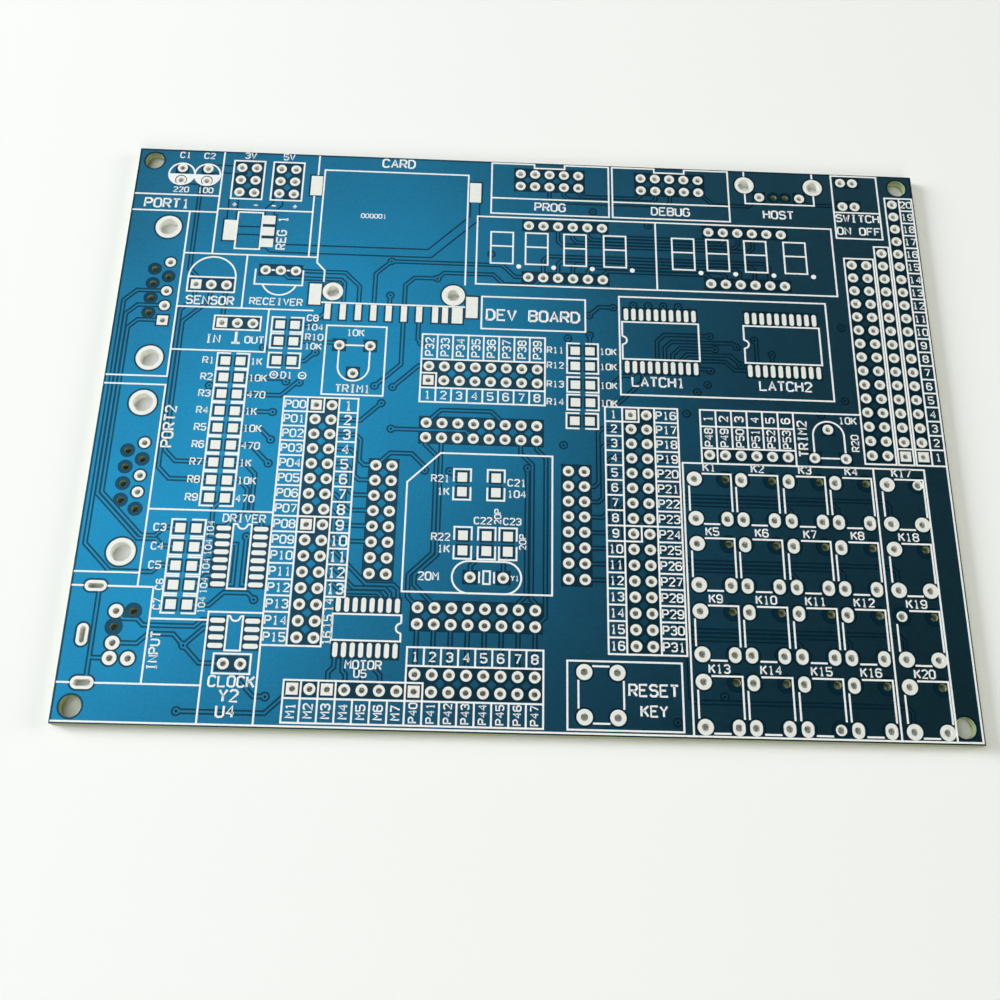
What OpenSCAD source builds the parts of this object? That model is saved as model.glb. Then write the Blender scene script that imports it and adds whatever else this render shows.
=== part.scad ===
// Bare two-layer circuit board of a development board, with no components fitted.
// Places on the board are in header pitches, [right, back], from pin 1 of the left port header.
// The part's origin is at the middle of the panel, on its underside.

/* [Panel] */
// Thickness of the glass-epoxy core
core_t = 1.5; // [0.8:0.1:2.4]
// Thickness of the copper under its solder mask, on each face
foil_t = 0.05; // [0.04:0.01:0.1]
// Thickness of the printed legend
ink_t = 0.03; // [0.02:0.01:0.06]
// Distance from the outer grid lines of the layout to the edges of the panel
edge_margin = 1.25; // [1.1:0.05:3]
// Distance from the edges of the panel to the copper
foil_inset = 0.35; // [0.2:0.05:0.6]

/* [Corner holes] */
// Diameter of the corner holes
mount_d = 3.2; // [2.6:0.1:3.4]
// Distance of the corner holes from the side edges
mount_inset_x = 2.75; // [2.4:0.05:3.2]
// Distance of the corner holes from the front and back edges
mount_inset_y = 2.5; // [2.2:0.05:2.8]

/* [Lead holes] */
// Grid pitch of the pin headers, which spaces the whole layout
pitch = 2.54; // [2.5:0.02:2.8]
// Land diameter of a header pin
pin_land_d = 1.75; // [1.5:0.05:2]
// Drill diameter of a header pin
pin_drill_d = 1; // [0.8:0.05:1.2]
// Copper thickness inside a plated hole
plating_t = 0.05; // [0.03:0.01:0.08]
// Land diameter of a via
via_land_d = 0.9; // [0.8:0.05:1.1]
// Drill diameter of a via
via_drill_d = 0.45; // [0.3:0.05:0.5]
// Bare gap between a land or track and the copper around it
clearance = 0.3; // [0.2:0.05:0.4]
// Side of the copper left between four lands of a header
island_w = 1; // [0.4:0.05:1.2]

/* [Keys and buttons] */
// Land diameter of a key pin
key_land_d = 2.4; // [2:0.1:2.6]
// Width of the key lands that stand beside another column of keys
key_oval_w = 1.85; // [1.6:0.05:2.1]
// Land diameter of the key pins with a small land
key_small_d = 1.65; // [1.5:0.05:1.8]
// Drill diameter of a key pin
key_drill_d = 1.2; // [1:0.05:1.3]
// Spacing of a key's pins from side to side
key_pin_x = 4.95; // [4.5:0.05:5.2]
// Spacing of a key's pins from front to back
key_pin_y = 6.65; // [6.3:0.05:6.9]

/* [Sockets] */
// Pin pitch of the 9-pin serial ports
serial_pitch = 2.77; // [2.7:0.01:2.84]
// Distance between the two pin rows of a serial port
serial_row = 2.45; // [2.4:0.05:2.84]
// Spacing of the two lock posts of a serial port
serial_lock_span = 25; // [24:0.1:25.4]
// Land diameter of a lock post
lock_land_d = 4.4; // [4:0.1:4.8]
// Drill diameter of a lock post
lock_drill_d = 3.2; // [2.8:0.1:3.4]
// Land diameter of a round socket pin
din_land_d = 2.1; // [1.7:0.05:2.2]
// Drill diameter of a round socket pin
din_drill_d = 1.1; // [0.9:0.05:1.2]
// Rim of the land around a shield slot
din_slot_rim = 0.4; // [0.3:0.05:0.5]
// Land diameter of a host socket shield leg
shield_land_d = 3.4; // [3:0.1:3.6]
// Drill diameter of a host socket shield leg
shield_drill_d = 2.3; // [2:0.1:2.5]
// Land diameters of the card socket's two pegs
peg_land_d = [3.4, 3.9]; // [3:0.1:4.2]
// Drill diameter of the card socket's pegs
peg_drill_d = 2.2; // [1.8:0.1:2.4]

/* [Surface lands] */
// Length of a chip pin's land
chip_land_l = 2.25; // [1.8:0.05:2.4]
// Width of a chip pin's land
chip_land_w = 0.75; // [0.6:0.05:0.85]
// Length of a chip resistor's or capacitor's land
passive_land_l = 1.55; // [1.2:0.05:1.6]
// Width of a chip resistor's or capacitor's land
passive_land_w = 1.5; // [1.2:0.05:1.7]
// Spacing of the two lands of a chip resistor or capacitor
passive_span = 2.45; // [2.2:0.05:2.6]
// Width of a card socket contact's land
contact_w = 1; // [0.8:0.05:1.2]
// Length of a card socket contact's land
contact_l = 2.95; // [2.4:0.05:3.1]
// Size of a card socket tab's land
tab_size = [2, 4]; // [1.6:0.1:4.2]
// Size of the regulator's tab land
regulator_tab = [2.2, 4]; // [1.8:0.1:4.4]
// Size of a regulator pin's land
regulator_land = [2.2, 1.7]; // [1.5:0.1:2.4]
// Pin pitch of the regulator
regulator_pitch = 2.3; // [2.2:0.05:2.4]

/* [Tracks and legend] */
// Width of a signal track
track_w = 0.3; // [0.2:0.05:0.35]
// Width of a supply track
rail_w = 1.3; // [0.8:0.1:1.4]
// Gap between a track and the copper area around it
track_gap = 0.28; // [0.2:0.02:0.3]
// Distance from one track of a bus to the next
lane_step = 0.65; // [0.6:0.01:0.65]
// Width of a legend line
line_w = 0.28; // [0.2:0.02:0.44]
// Distance from the edges of the panel to the legend's border
border_inset = 0.35; // [0.25:0.05:0.6]
// Length and width of the outline around a chip resistor or capacitor
passive_box = [5.15, 2.7]; // [2.5:0.05:5.2]

/* [Hidden] */
$fn = 48;
tin = "#e6e8e4";
mask_on_copper = "#0a6496";
mask_on_core = "#07405c";
ink = "#f6f8f8";

// Levels of the layers, and the outer grid lines of the layout
core_z = foil_t;
face_z = foil_t + core_t;
top_z = face_z + foil_t;
field_min = [-13.05, -19.8];
field_max = [39.7, 18.55];
panel_min = pitch * field_min - [edge_margin, edge_margin];
panel_max = pitch * field_max + [edge_margin, edge_margin];
panel_size = panel_max - panel_min;
panel_middle = (panel_min + panel_max) / 2;
through = 1;

// Border of the legend, in header pitches
border_l = (panel_min[0] + border_inset) / pitch;
border_r = (panel_max[0] - border_inset) / pitch;
border_f = (panel_min[1] + border_inset) / pitch;
border_b = (panel_max[1] - border_inset) / pitch;

// Headers: first pin, columns, rows, square pins as [column, row], spacing of columns and rows
grid = [1, 1];
port_eb = [[0, 0], 2, 16, [[0, 0], [0, 8]], grid];
port_f = [[7, 3], 8, 2, [[0, 1]], grid];
port_d = [[7, -17], 8, 2, [[0, 1]], grid];
port_ac = [[20, 0], 2, 16, [[0, 0]], grid];
port_g = [[24.95, -2.6], 6, 1, [], grid];
motor = [[0, -18], 7, 1, [[0, 0], [2, 0]], grid];
cpu_back = [[7, -1], 8, 2, [], grid];
cpu_left = [[4, -4], 2, 8, [], grid];
cpu_right = [[16, -4], 2, 8, [], grid];
cpu_front = [[7, -13], 8, 2, [], grid];
panel_left = [[35.35, 11.7], 2, 15, [], grid];
panel_middle_row = [[37.5, 12.7], 1, 16, [[0, 15]], grid];
panel_right = [[38.65, 16.7], 1, 20, [[0, 19]], grid];
program_header = [[12.75, 18.1], 5, 2, [], grid];
debug_header = [[21.1, 18.1], 5, 2, [], grid];
display_left = [[13.35, 13.9], 6, 2, [], [1, 4.05]];
display_right = [[25.65, 13.9], 6, 2, [], [1, 4.05]];
supply_left = [[-6.45, 17.75], 2, 3, [], grid];
supply_right = [[-3.75, 17.75], 2, 3, [], grid];
sensor = [[-8.55, 8.45], 3, 1, [[0, 0]], grid];
receiver = [[-4.1, 9.7], 3, 1, [], grid];
jumper = [[-6.55, 5.65], 3, 1, [[0, 0]], grid];
capacitor_left = [[-10.5, 17.55], 1, 2, [], grid];
capacitor_right = [[-8.75, 17.55], 1, 2, [], grid];
trimmer_ends = [[1.15, 4.3], 2, 1, [], [2, 1]];
trimmer_wiper = [[2.15, 2.3], 1, 1, [], grid];
contrast_ends = [[31.65, -2.6], 2, 1, [], [2, 1]];
contrast_wiper = [[32.65, -0.6], 1, 1, [], grid];
cpu_crystal = [[10.05, -11.05], 2, 1, [], [2, 1]];
clock_crystal = [[-4.1, -16.65], 2, 1, [], grid];
power_switch = [[35.15, 18.35], 2, 2, [], [0.85, 1.95]];
host_pins = [[29.35, 16.9], 2, 1, [], [2.8, 1]];
headers = [
    port_eb, port_f, port_d, port_ac, port_g, motor, cpu_back, cpu_left, cpu_right, cpu_front,
    panel_left, panel_middle_row, panel_right, program_header, debug_header, display_left,
    display_right, supply_left, supply_right, sensor, receiver, jumper, capacitor_left,
    capacitor_right, trimmer_ends, trimmer_wiper, contrast_ends, contrast_wiper, cpu_crystal,
    clock_crystal, power_switch, host_pins
];

// Keys: columns and rows of the back left pin, and the lands that are small, as [column, row, pin]
key_columns = [23.9, 26.85, 29.85, 32.8, 36.1];
key_rows = [-4.25, -8.5, -12.75, -17];
key_small_lands = [[4, 0, 1], [4, 2, 0], [2, 3, 3]];
reset_button = [16.9, -16.6];
key_pins = [[0, 0], [key_pin_x, 0], [0, -key_pin_y], [key_pin_x, -key_pin_y]];
blank_pin = 1;

// Serial ports: middle pin of the near row, tinned pins of that row and the square one
serial_upper = [[-10.4, 7.85], [0, 2, 3, 4], 4];
serial_lower = [[-10.4, -5.15], [0, 2, 3], -1];
serial_ports = [serial_upper, serial_lower];
lock_setback = 1.2;

// Round socket: tinned pins, bare pins, and shield slots as place and outline
din_pins = [[-10.65, -13.7], [-10.6, -15.6], [-10.65, -16.5], [-9.6, -16.5]];
din_blanks = [[-9.65, -13.7], [-10.65, -14.65]];
din_slots = [
    [[-12.05, -12.2], [3.3, 1.7]],
    [[-12.4, -15.15], [1.7, 3.4]],
    [[-12, -17.95], [3.4, 1.9]]
];

// Host socket: shield legs, and the two signal holes that are left bare
host_shields = [[28.35, 17.85], [33.15, 17.85]];
host_blanks = [[30.35, 16.9], [31.15, 16.9]];

// Card socket: pegs, contacts, wide contact and tabs
card_pegs = [[0.45, 8.25], [8.4, 8.25]];
card_contacts = [for (x = [0.2, 1.2, 2.2, 3.2, 4.2, 5.2, 6.2, 7.25, 7.9]) [x, 6.75]];
card_wide_contact = [8.7, 6.75];
card_wide_w = 1.8;
card_tabs = [[-1.25, 16.5], [-0.7, 8], [9.65, 16.4], [9.65, 7.4]];

// Chips: middle, pins in a row, spacing of the rows, quarter turn
line_driver = [[-3.8, -10.15], 8, 5.7, true];
clock_chip = [[-3.65, -14.85], 4, 5.2, true];
motor_driver = [[4.05, -14.3], 8, 6.9, false];
latch_left = [[22.1, 5.35], 10, 9.85, false];
latch_right = [[30.15, 5.35], 10, 9.85, false];
chips = [line_driver, clock_chip, motor_driver, latch_left, latch_right];
regulator = [-5.5, 12.7];
regulator_span = 6.4;

// Chip resistors and capacitors: place and quarter turn
resistor_step = 1.17;
resistors = [for (k = [0 : 8]) [[-5.55, 2.9 - k * resistor_step], false]];
decoupling_step = 1.19;
decoupling = concat(
    [for (k = [0 : 4]) [[-7.05, -8.45 - k * decoupling_step], false]],
    [for (y = [5.65, 4.45, 3.05]) [[-2.3, y], false]]
);
cpu_passives = [for (p = [[9.4, -5.1], [11.5, -5.1], [9.55, -8.9], [11, -8.9], [12.3, -8.9]]) [p, true]];
pull_ups = [for (p = [[16.95, 4.45], [16.95, 3.35], [16.95, 2], [16.95, 0.75], [16.9, -0.55]]) [p, false]];
passives = concat(resistors, decoupling, cpu_passives, pull_ups);

// Vias, by region of the board
latch_vias = [for (j = [0 : 3]) [20.35 + j, 8]];
via_places = concat(latch_vias, [
    [-2.05, 1.55], [-1.2, 1.5], [-2.7, -0.61], [-2.65, -2.5], [-2.65, -4.1], [-0.35, 3.7], [-6.85, 1.1],
    [-3.7, 3.9], [-3.5, -8.9], [-2.7, -12.8], [-6.5, -15.65], [-6.45, -19.45], [-1.5, -18.5],
    [4.2, 10.7], [7.3, 9.5], [4.25, 8.1], [10.85, 11.55], [3.6, 1.45], [4.75, 1.4], [4.1, 0.25],
    [4.8, -1.5], [6.45, 4.65], [7.05, -4.25], [8.6, -4.25], [13.45, -3.9],
    [17.75, 15.2], [21.5, 14.25], [19, 7.75], [17.4, 7.1], [17.43, 5.65], [16, 5.35],
    [25.35, 5.85], [25.65, 4.9], [25.3, 3.3], [25.05, 2.3], [24.35, 1.75],
    [23.6, 0.2], [15.7, -2.25], [23.25, -14.85], [22.3, -19.4], [25.1, -17.85],
    [27.1, 5.1], [27.3, 3.8], [29.4, 4.65], [28.3, 5.65], [33.95, 1.45], [32.3, 0.4], [34.2, 6.8]
]);

// Corners of the tracks in a bus are cut off by this distance, in header pitches
corner = 0.3;
lane = lane_step / pitch;

// A bus between two rows of pins along a lane, and one over a lane across
function bus(count, a, a_step, b, b_step, x, turn) = [
    for (i = [0 : count - 1])
        let (p = a + i * a_step, q = b + i * b_step, lane_x = x + turn * i * lane)
        eased([p, [lane_x, p[1]], [lane_x, q[1]], q], corner)
];
function bridge(count, a, a_step, b, b_step, y, turn) = [
    for (i = [0 : count - 1])
        let (p = a + i * a_step, q = b + i * b_step, lane_y = y + turn * i * lane)
        eased([p, [p[0], lane_y], [q[0], lane_y], q], corner)
];
function towards(a, b, d) = a + (b - a) * min(0.45, d / norm(b - a));
function eased(route, d) = [
    for (i = [0 : len(route) - 1])
        each i == 0 || i == len(route) - 1
            ? [route[i]]
            : [towards(route[i], route[i - 1], d), towards(route[i], route[i + 1], d)]
];

// Tracks of the top face, each from pin to pin
serial_tracks = [
    [[-10.4, 5.67], [-11.98, 5.67], [-12.55, 5.1], [-12.55, -6.3], [-9.85, -9], [-9, -9], [-8.45, -8.45],
        [-7.53, -8.45]],
    [[-10.4, 6.76], [-12.12, 6.76], [-12.81, 6.07], [-12.81, -6.41], [-10.02, -9.2], [-8.9, -9.2],
        [-8.46, -9.64], [-7.53, -9.64]],
    [[-10.4, 7.85], [-12.3, 7.85], [-13.07, 7.08], [-13.07, -9.6], [-11.4, -11.27], [-8.9, -11.27],
        [-8.46, -10.83], [-7.53, -10.83]],
    [[-6.57, -9.64], [-5.9, -9.64], [-5.64, -9.9], [-4.92, -9.9]],
    [[-6.57, -10.83], [-6.1, -10.83], [-5.67, -10.4], [-4.92, -10.4]],
    [[-6.57, -12.02], [-6.3, -12.02], [-5.68, -11.4], [-4.92, -11.4]],
    [[-6.57, -13.21], [-5.3, -13.21], [-4.5, -12.41], [-3.09, -12.41], [-2.7, -12.8]],
    [[-3.5, -8.9], [-3.5, -11.9], [-2.68, -11.9]],
    [[-4.92, -11.9], [-4.05, -11.9], [-4.05, -9.4], [-4.92, -9.4]]
];
socket_tracks = [
    [[-11.8, -12.2], [-11.8, -17.95]],
    [[-10.65, -16.5], [-11.8, -16.5]],
    [[-10.65, -13.7], [-10.2, -14.15], [-9.35, -14.15], [-9, -14.5], [-6, -14.5], [-5.6, -14.1],
        [-4.67, -14.1]],
    [[-10.6, -15.6], [-9.2, -15.6], [-8.6, -15], [-7.15, -15], [-6.5, -15.65]],
    [[-4.67, -14.6], [-5.45, -14.6], [-6.5, -15.65], [-5.5, -16.65], [-4.1, -16.65]],
    [[-3.1, -16.65], [-3.1, -17.6], [-2.2, -18.5], [-1.5, -18.5]],
    [[-6.45, -19.45], [-1.45, -19.45], [0, -18]]
];
sensor_tracks = [
    [[-7.55, 8.45], [-7.55, 7.2], [-9.1, 5.65], [-9.1, -3.4], [-8.38, -4.12], [-6.03, -4.12]],
    [[-8.55, 8.45], [-8.55, 7.3], [-9.36, 6.49], [-9.36, -4.55], [-8.62, -5.29], [-6.03, -5.29]],
    [[-6.55, 8.45], [-6.55, 5.65]],
    [[-8.75, 16.55], [-9.1, 16.2], [-9.1, 9.6], [-8.55, 9.05], [-8.55, 8.45]],
    [[-5.07, 1.73], [-2.23, 1.73], [-2.05, 1.55]],
    [[-5.07, 0.56], [-2.3, 0.56], [-1.36, 1.5], [-1.2, 1.5]],
    [[-5.07, -0.61], [-2.7, -0.61]],
    [[-5.07, -1.78], [-3.37, -1.78], [-2.65, -2.5]],
    [[-5.07, -2.95], [-3.8, -2.95], [-2.65, -4.1]],
    [[-5.07, -4.12], [-4.1, -4.12], [-3.4, -4.82], [-3.4, -7.2], [-2.68, -7.92], [-2.68, -8.4]],
    [[-5.07, -5.29], [-4.3, -5.29], [-3.75, -5.84], [-3.75, -7.23], [-4.92, -8.4]],
    [[-5.07, -6.46], [-5.7, -7.09], [-5.7, -8.9], [-4.92, -8.9]],
    [[-1.82, 3.05], [-1, 3.05], [-0.35, 3.7]],
    [[-1.82, 4.45], [1, 4.45], [1.15, 4.3]],
    [[-1.82, 5.65], [-0.9, 5.65], [0.2, 6.75]]
];
card_tracks = [
    [[-2.1, 9.7], [1.2, 9.7], [2.2, 8.7], [2.2, 6.75]],
    [[-3.1, 9.7], [-2.55, 9.15], [0.95, 9.15], [1.2, 8.9], [1.2, 6.75]],
    [[3.2, 6.75], [3.2, 9.7], [4.2, 10.7], [11.6, 10.7], [12.45, 9.85], [13.35, 9.85]],
    [[4.2, 6.75], [4.25, 8.1]],
    [[5.2, 6.75], [5.2, 8.9], [5.8, 9.5], [7.3, 9.5], [7.75, 9.95], [11, 9.95], [11.7, 9.25], [13.75, 9.25],
        [14.35, 9.85]],
    [[3.6, 1.45], [5.2, 3.05], [5.2, 6.75]],
    [[6.45, 4.65], [6.2, 4.9], [6.2, 6.75]],
    [[4.75, 1.4], [6.35, 3], [7, 3]]
];
cpu_tracks = [
    [[4.1, 0.25], [2.85, -1], [1, -1]],
    [[4.8, -1.5], [9.5, -1.5], [10, -2]],
    [[4, -4], [4.85, -3.15], [6.2, -3.15], [7.05, -4], [7.05, -4.25]],
    [[7, -1], [7.9, -0.1], [11.1, -0.1], [12, -1]],
    [[7, -2], [7, -2.5], [7.75, -3.25], [7.75, -9.6], [6.35, -11], [6.35, -12.35], [7, -13]],
    [[8, -2], [8.01, -9.71], [6.72, -11], [6.72, -11.6], [8, -12.88], [8, -13]],
    [[8.6, -4.25], [8.97, -4.62], [9.4, -4.62]],
    [[10.05, -11.05], [10.05, -10.33], [11, -9.38]],
    [[12.05, -11.05], [12.05, -9.95], [12.3, -9.7], [12.3, -9.38]],
    [[13.45, -3.9], [13.45, -12.1], [13, -12.55], [13, -13]],
    [[13, -2], [13, -2.9], [13.75, -3.65], [13.75, -12.3], [14, -12.55], [14, -13]],
    [[14, -2], [14, -2.6], [14.6, -3.2], [14.6, -13.4], [14, -14]],
    [[1, -9], [1.2, -9], [3.85, -11.65], [5.5, -11.65], [5.8, -11.95], [5.8, -12.9]],
    [[1, -10], [1.2, -10], [3.1, -11.9], [5, -11.9], [5.3, -12.2], [5.3, -12.9]],
    [[1, -11], [1.2, -11], [2.36, -12.16], [4.6, -12.16], [4.8, -12.36], [4.8, -12.9]],
    [[2.3, -15.7], [2.3, -16.7], [2, -17], [2, -18]],
    [[2.8, -15.7], [2.8, -16.9], [3, -17.1], [3, -18]],
    [[3.3, -15.7], [3.3, -16.4], [4, -17.1], [4, -18]],
    [[3.8, -15.7], [3.8, -15.9], [5, -17.1], [5, -18]]
];
latch_tracks = [
    [[16.47, 4.45], [16, 4.92], [16, 5.35]],
    [[17.43, 4.45], [17.43, 5.65]],
    [[17.4, 7.1], [18.05, 7.75], [19, 7.75]],
    [[17.43, 3.41], [19.85, 3.41]],
    [[17.43, 2], [18.75, 2], [19.5, 2.75], [20.1, 2.75], [20.35, 3], [20.35, 3.41]],
    [[17.43, 0.75], [19.2, 0.75], [20.85, 2.4], [20.85, 3.41]],
    [[21.85, 3.41], [21.85, 5.35], [22.35, 5.85], [25.35, 5.85]],
    [[22.35, 3.41], [22.35, 4.9], [22.8, 5.35], [26.85, 5.35], [27.1, 5.1]],
    [[22.85, 3.41], [22.85, 4.4], [23.35, 4.9], [25.65, 4.9]],
    [[23.35, 3.41], [23.35, 4], [23.8, 4.45], [26.65, 4.45], [27.3, 3.8]],
    [[23.85, 3.41], [23.85, 3.65], [24.2, 4], [26.3, 4], [26.89, 3.41], [27.9, 3.41]],
    [[24.35, 3.41], [25.19, 3.41], [25.3, 3.3]],
    [[28.3, 5.65], [28.4, 5.55], [28.4, 3.41]],
    [[29.4, 4.65], [29.4, 3.41]],
    [[29.35, 16.9], [28.55, 16.1], [26.1, 16.1], [25.1, 17.1]],
    [[32.15, 16.9], [32.65, 16.4], [35.15, 16.4]]
];
latch_stubs = [for (p = latch_vias) [p, [p[0], 7.29]]];
panel_links = [for (k = [0 : 14]) [[36.35, 11.7 - k], [38.65, 11.7 - k]]];

// A key row's tracks: from three pins of a port to the front left lands of three columns of keys
function key_row_tracks(r, pin_row, count) = [
    for (k = [0 : count - 1])
        let (
            pin = header_pin(port_ac, 1, pin_row + k),
            y = key_rows[r] - 1.2 - k * lane,
            x = key_columns[4 - k],
            end = [x, key_rows[r] - key_pin_y / pitch]
        )
        eased([pin, [23.1 - k * lane, pin[1]], [23.1 - k * lane, y], [x, y], end], corner)
];

tracks_top = concat(
    serial_tracks, socket_tracks, sensor_tracks, card_tracks, cpu_tracks,
    latch_tracks, latch_stubs, panel_links,
    bus(6, header_pin(port_eb, 1, 2), [0, -1], header_pin(cpu_left, 0, 0), [0, -1], 2.95, -1),
    bus(7, header_pin(cpu_right, 1, 1), [0, -1], header_pin(port_ac, 0, 1), [0, -1], 17.9, 1),
    [for (i = [0 : 7]) [header_pin(cpu_front, i, 1), header_pin(port_d, i, 0)]],
    bridge(5, header_pin(display_left, 5, 1), [-1, 0], header_pin(display_right, 0, 1), [1, 0], 10.5, 1),
    bridge(4, header_pin(display_left, 5, 0), [-1, 0], header_pin(display_right, 0, 0), [1, 0], 13.2, -1),
    bridge(3, header_pin(program_header, 4, 1), [-1, 0], header_pin(debug_header, 0, 1), [1, 0], 16.4, -1),
    key_row_tracks(0, 3, 3),
    key_row_tracks(1, 7, 3),
    key_row_tracks(2, 11, 3),
    key_row_tracks(3, 15, 1)
);
rails_top = [
    [[-4.24, 11.8], [-3.85, 11.4], [6.7, 11.4], [9.65, 14.35], [9.65, 16.4]],
    [[-6.76, 12.7], [-4.24, 12.7]],
    [[-3.75, 15.75], [-3.75, 14.9], [-4.24, 14.41], [-4.24, 13.6]],
    [[-6.45, 15.75], [-6.76, 15.44], [-6.76, 12.7]],
    [[-10.5, 16.55], [-8.75, 16.55]],
    [[-8.75, 17.55], [-6.65, 17.55], [-6.45, 17.75]]
];

// Tracks of the bottom face
between_rows = [0.5, -0.5];
tracks_bottom = concat(
    [for (i = [0 : 4]) [header_pin(port_f, i, 1), header_pin(cpu_back, i, 0)]],
    [for (i = [0 : 7])
        let (a = header_pin(cpu_front, i, 0), b = header_pin(port_d, i, 1))
        [a, a + between_rows, [a[0] + 0.5, b[1] + 0.5], b]],
    [for (i = [0 : 7])
        let (a = header_pin(port_eb, 1, 8 + i), b = header_pin(cpu_left, 1, i), x = 1.6 + i * lane)
        [a, [x - 0.2, a[1]], [x, a[1] + 0.2], [x, b[1] - 0.7], [x + 0.2, b[1] - 0.5],
            [b[0] - 0.5, b[1] - 0.5], b]],
    [for (i = [0 : 7])
        let (a = header_pin(cpu_right, 0, i), b = header_pin(port_ac, 0, 8 + i), x = 19.42 - i * lane)
        [a, a + between_rows, [x - 0.2, a[1] - 0.5], [x, a[1] - 0.7], [x, b[1] + 0.2], [x + 0.2, b[1]], b]],
    [for (p = [0 : 3])
        let (a = latch_vias[p], b = header_pin(display_left, 2 + p, 1), y = 8.5 + p * lane)
        eased([a, [a[0], y], [b[0], y], b], corner)],
    [for (j = [0 : 3])
        let (a = header_pin(panel_left, 0, 14 - j), b = header_pin(port_g, 5 - j, 0), x = 34.6 - j * lane,
            y = -1.95 + j * lane)
        [a, [x + 0.15, a[1]], [x, a[1] + 0.15], [x, y], [b[0] + 0.2, y], [b[0], y - 0.2], b]],
    [for (x = key_columns) [[x, key_rows[0]], [x, key_rows[3] - key_pin_y / pitch]]],
    [[[4.25, 8.1], [4.25, 5.75], [7, 3]]]
);
rails_bottom = [
    [[-3.75, 15.75], [-3.75, 13], [-1, 10.25], [-1, 2.6], [-0.65, 2.25], [-0.65, 1.1],
        [-1.4, 0.35], [-1.4, -13.6], [0, -15]],
    [[-6.45, 15.75], [-6.45, 12.5], [-9.35, 9.6], [-9.35, -11], [-8.9, -11.45], [-8.9, -13.9],
        [-10.6, -15.6]],
    [[36, 16.4], [36, 14.5], [33.6, 14.5], [33.2, 14.1], [33.2, 2.2], [33.95, 1.45]]
];

// Places and shapes

function place(g) = pitch * g;
function header_pin(h, c, r) = h[0] + [c * h[4][0], -r * h[4][1]];
function header_pins(h) = [for (r = [0 : h[2] - 1], c = [0 : h[1] - 1]) header_pin(h, c, r)];
function listed(list, item) = len([for (entry = list) if (entry == item) entry]) > 0;
function beside_square(h, c, r) =
    len([for (i = [0, 1], j = [0, 1]) if (listed(h[3], [c + i, r + j])) i]) > 0;
function key_corner(c, r) = place([key_columns[c], key_rows[r]]);
function serial_pin(port, k) = place(port[0]) + [0, (2 - k) * serial_pitch];
function serial_far_pin(port, k) = place(port[0]) + [-serial_row, (1.5 - k) * serial_pitch];
function serial_lock(port, side) = place(port[0]) + [-lock_setback, side * serial_lock_span / 2];

// Points of a route moved sideways by d, with mitred corners
function side_of(a, b) = let (d = (b - a) / norm(b - a)) [-d[1], d[0]];
function miter(a, b, c) = let (n = side_of(a, b), m = side_of(b, c)) (n + m) / (1 + n * m);
function moved(route, d) = [
    for (i = [0 : len(route) - 1])
        let (
            last = len(route) - 1,
            a = route[max(i - 1, 0)],
            c = route[min(i + 1, last)],
            n = i == 0 ? side_of(route[0], c) : i == last ? side_of(a, route[last]) : miter(a, route[i], c)
        )
        route[i] + d * n
];
function backwards(list) = [for (i = [len(list) - 1 : -1 : 0]) list[i]];

module ribbon(route, w) {
    polygon(concat(moved(route, w / 2), backwards(moved(route, -w / 2))));
}

// A rectangle with round ends
module oblong(size) {
    w = min(size[0], size[1]);
    half = (size - [w, w]) / 2;
    square([size[0] > w ? size[0] - w : w, size[1] > w ? size[1] - w : w], center = true);
    for (end = [-half, half])
        translate(end)
            circle(d = w);
}

module on_panel() {
    translate(-panel_middle)
        children();
}

// Plated holes and lands

module round_hole(land_d, drill_d) {
    land = land_d / 2;
    wall = drill_d / 2;
    bore = wall - plating_t;
    rotate_extrude()
        polygon([
            [bore, 0], [land, 0], [land, core_z], [wall, core_z],
            [wall, face_z], [land, face_z], [land, top_z], [bore, top_z]
        ]);
}

module shaped_hole(drill_d) {
    difference() {
        union() {
            for (z = [0, face_z])
                translate([0, 0, z])
                    linear_extrude(foil_t)
                        children();
            cylinder(d = drill_d, h = top_z);
        }
        translate([0, 0, -through])
            cylinder(d = drill_d - 2 * plating_t, h = top_z + 2 * through);
    }
}

module plated_slot(land, slot) {
    difference() {
        union() {
            for (z = [0, face_z])
                translate([0, 0, z])
                    linear_extrude(foil_t)
                        oblong(land);
            linear_extrude(top_z)
                oblong(slot);
        }
        translate([0, 0, -through])
            linear_extrude(top_z + 2 * through)
                oblong(slot - 2 * [plating_t, plating_t]);
    }
}

module pin_hole(square_land) {
    if (square_land)
        shaped_hole(pin_drill_d)
            square(pin_land_d, center = true);
    else
        round_hole(pin_land_d, pin_drill_d);
}

module header_pads(h) {
    for (r = [0 : h[2] - 1], c = [0 : h[1] - 1])
        translate(place(header_pin(h, c, r)))
            pin_hole(listed(h[3], [c, r]));
}

module pads_of(list) {
    color(tin)
        on_panel()
            for (h = list)
                header_pads(h);
}

module surface_land() {
    translate([0, 0, face_z])
        linear_extrude(foil_t)
            children();
}

// Footprints of the keys

function key_is_bare(c, r, pin) = pin == blank_pin && !listed(key_small_lands, [c, r, pin]);
function key_is_round(c, pin) = c == len(key_columns) - 1 || (c == 0 && pin % 2 == 0);

module key_hole(c, r, pin) {
    if (listed(key_small_lands, [c, r, pin]))
        round_hole(key_small_d, key_drill_d);
    else if (key_is_round(c, pin))
        round_hole(key_land_d, key_drill_d);
    else
        shaped_hole(key_drill_d)
            oblong([key_oval_w, key_land_d]);
}

module key_land(c, r, pin) {
    if (key_is_bare(c, r, pin))
        circle(d = key_drill_d);
    else if (listed(key_small_lands, [c, r, pin]))
        circle(d = key_small_d);
    else if (key_is_round(c, pin))
        circle(d = key_land_d);
    else
        oblong([key_oval_w, key_land_d]);
}

module key_column(c) {
    color(tin)
        on_panel()
            for (r = [0 : len(key_rows) - 1], pin = [0 : len(key_pins) - 1])
                if (!key_is_bare(c, r, pin))
                    translate(key_corner(c, r) + key_pins[pin])
                        key_hole(c, r, pin);
}

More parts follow.
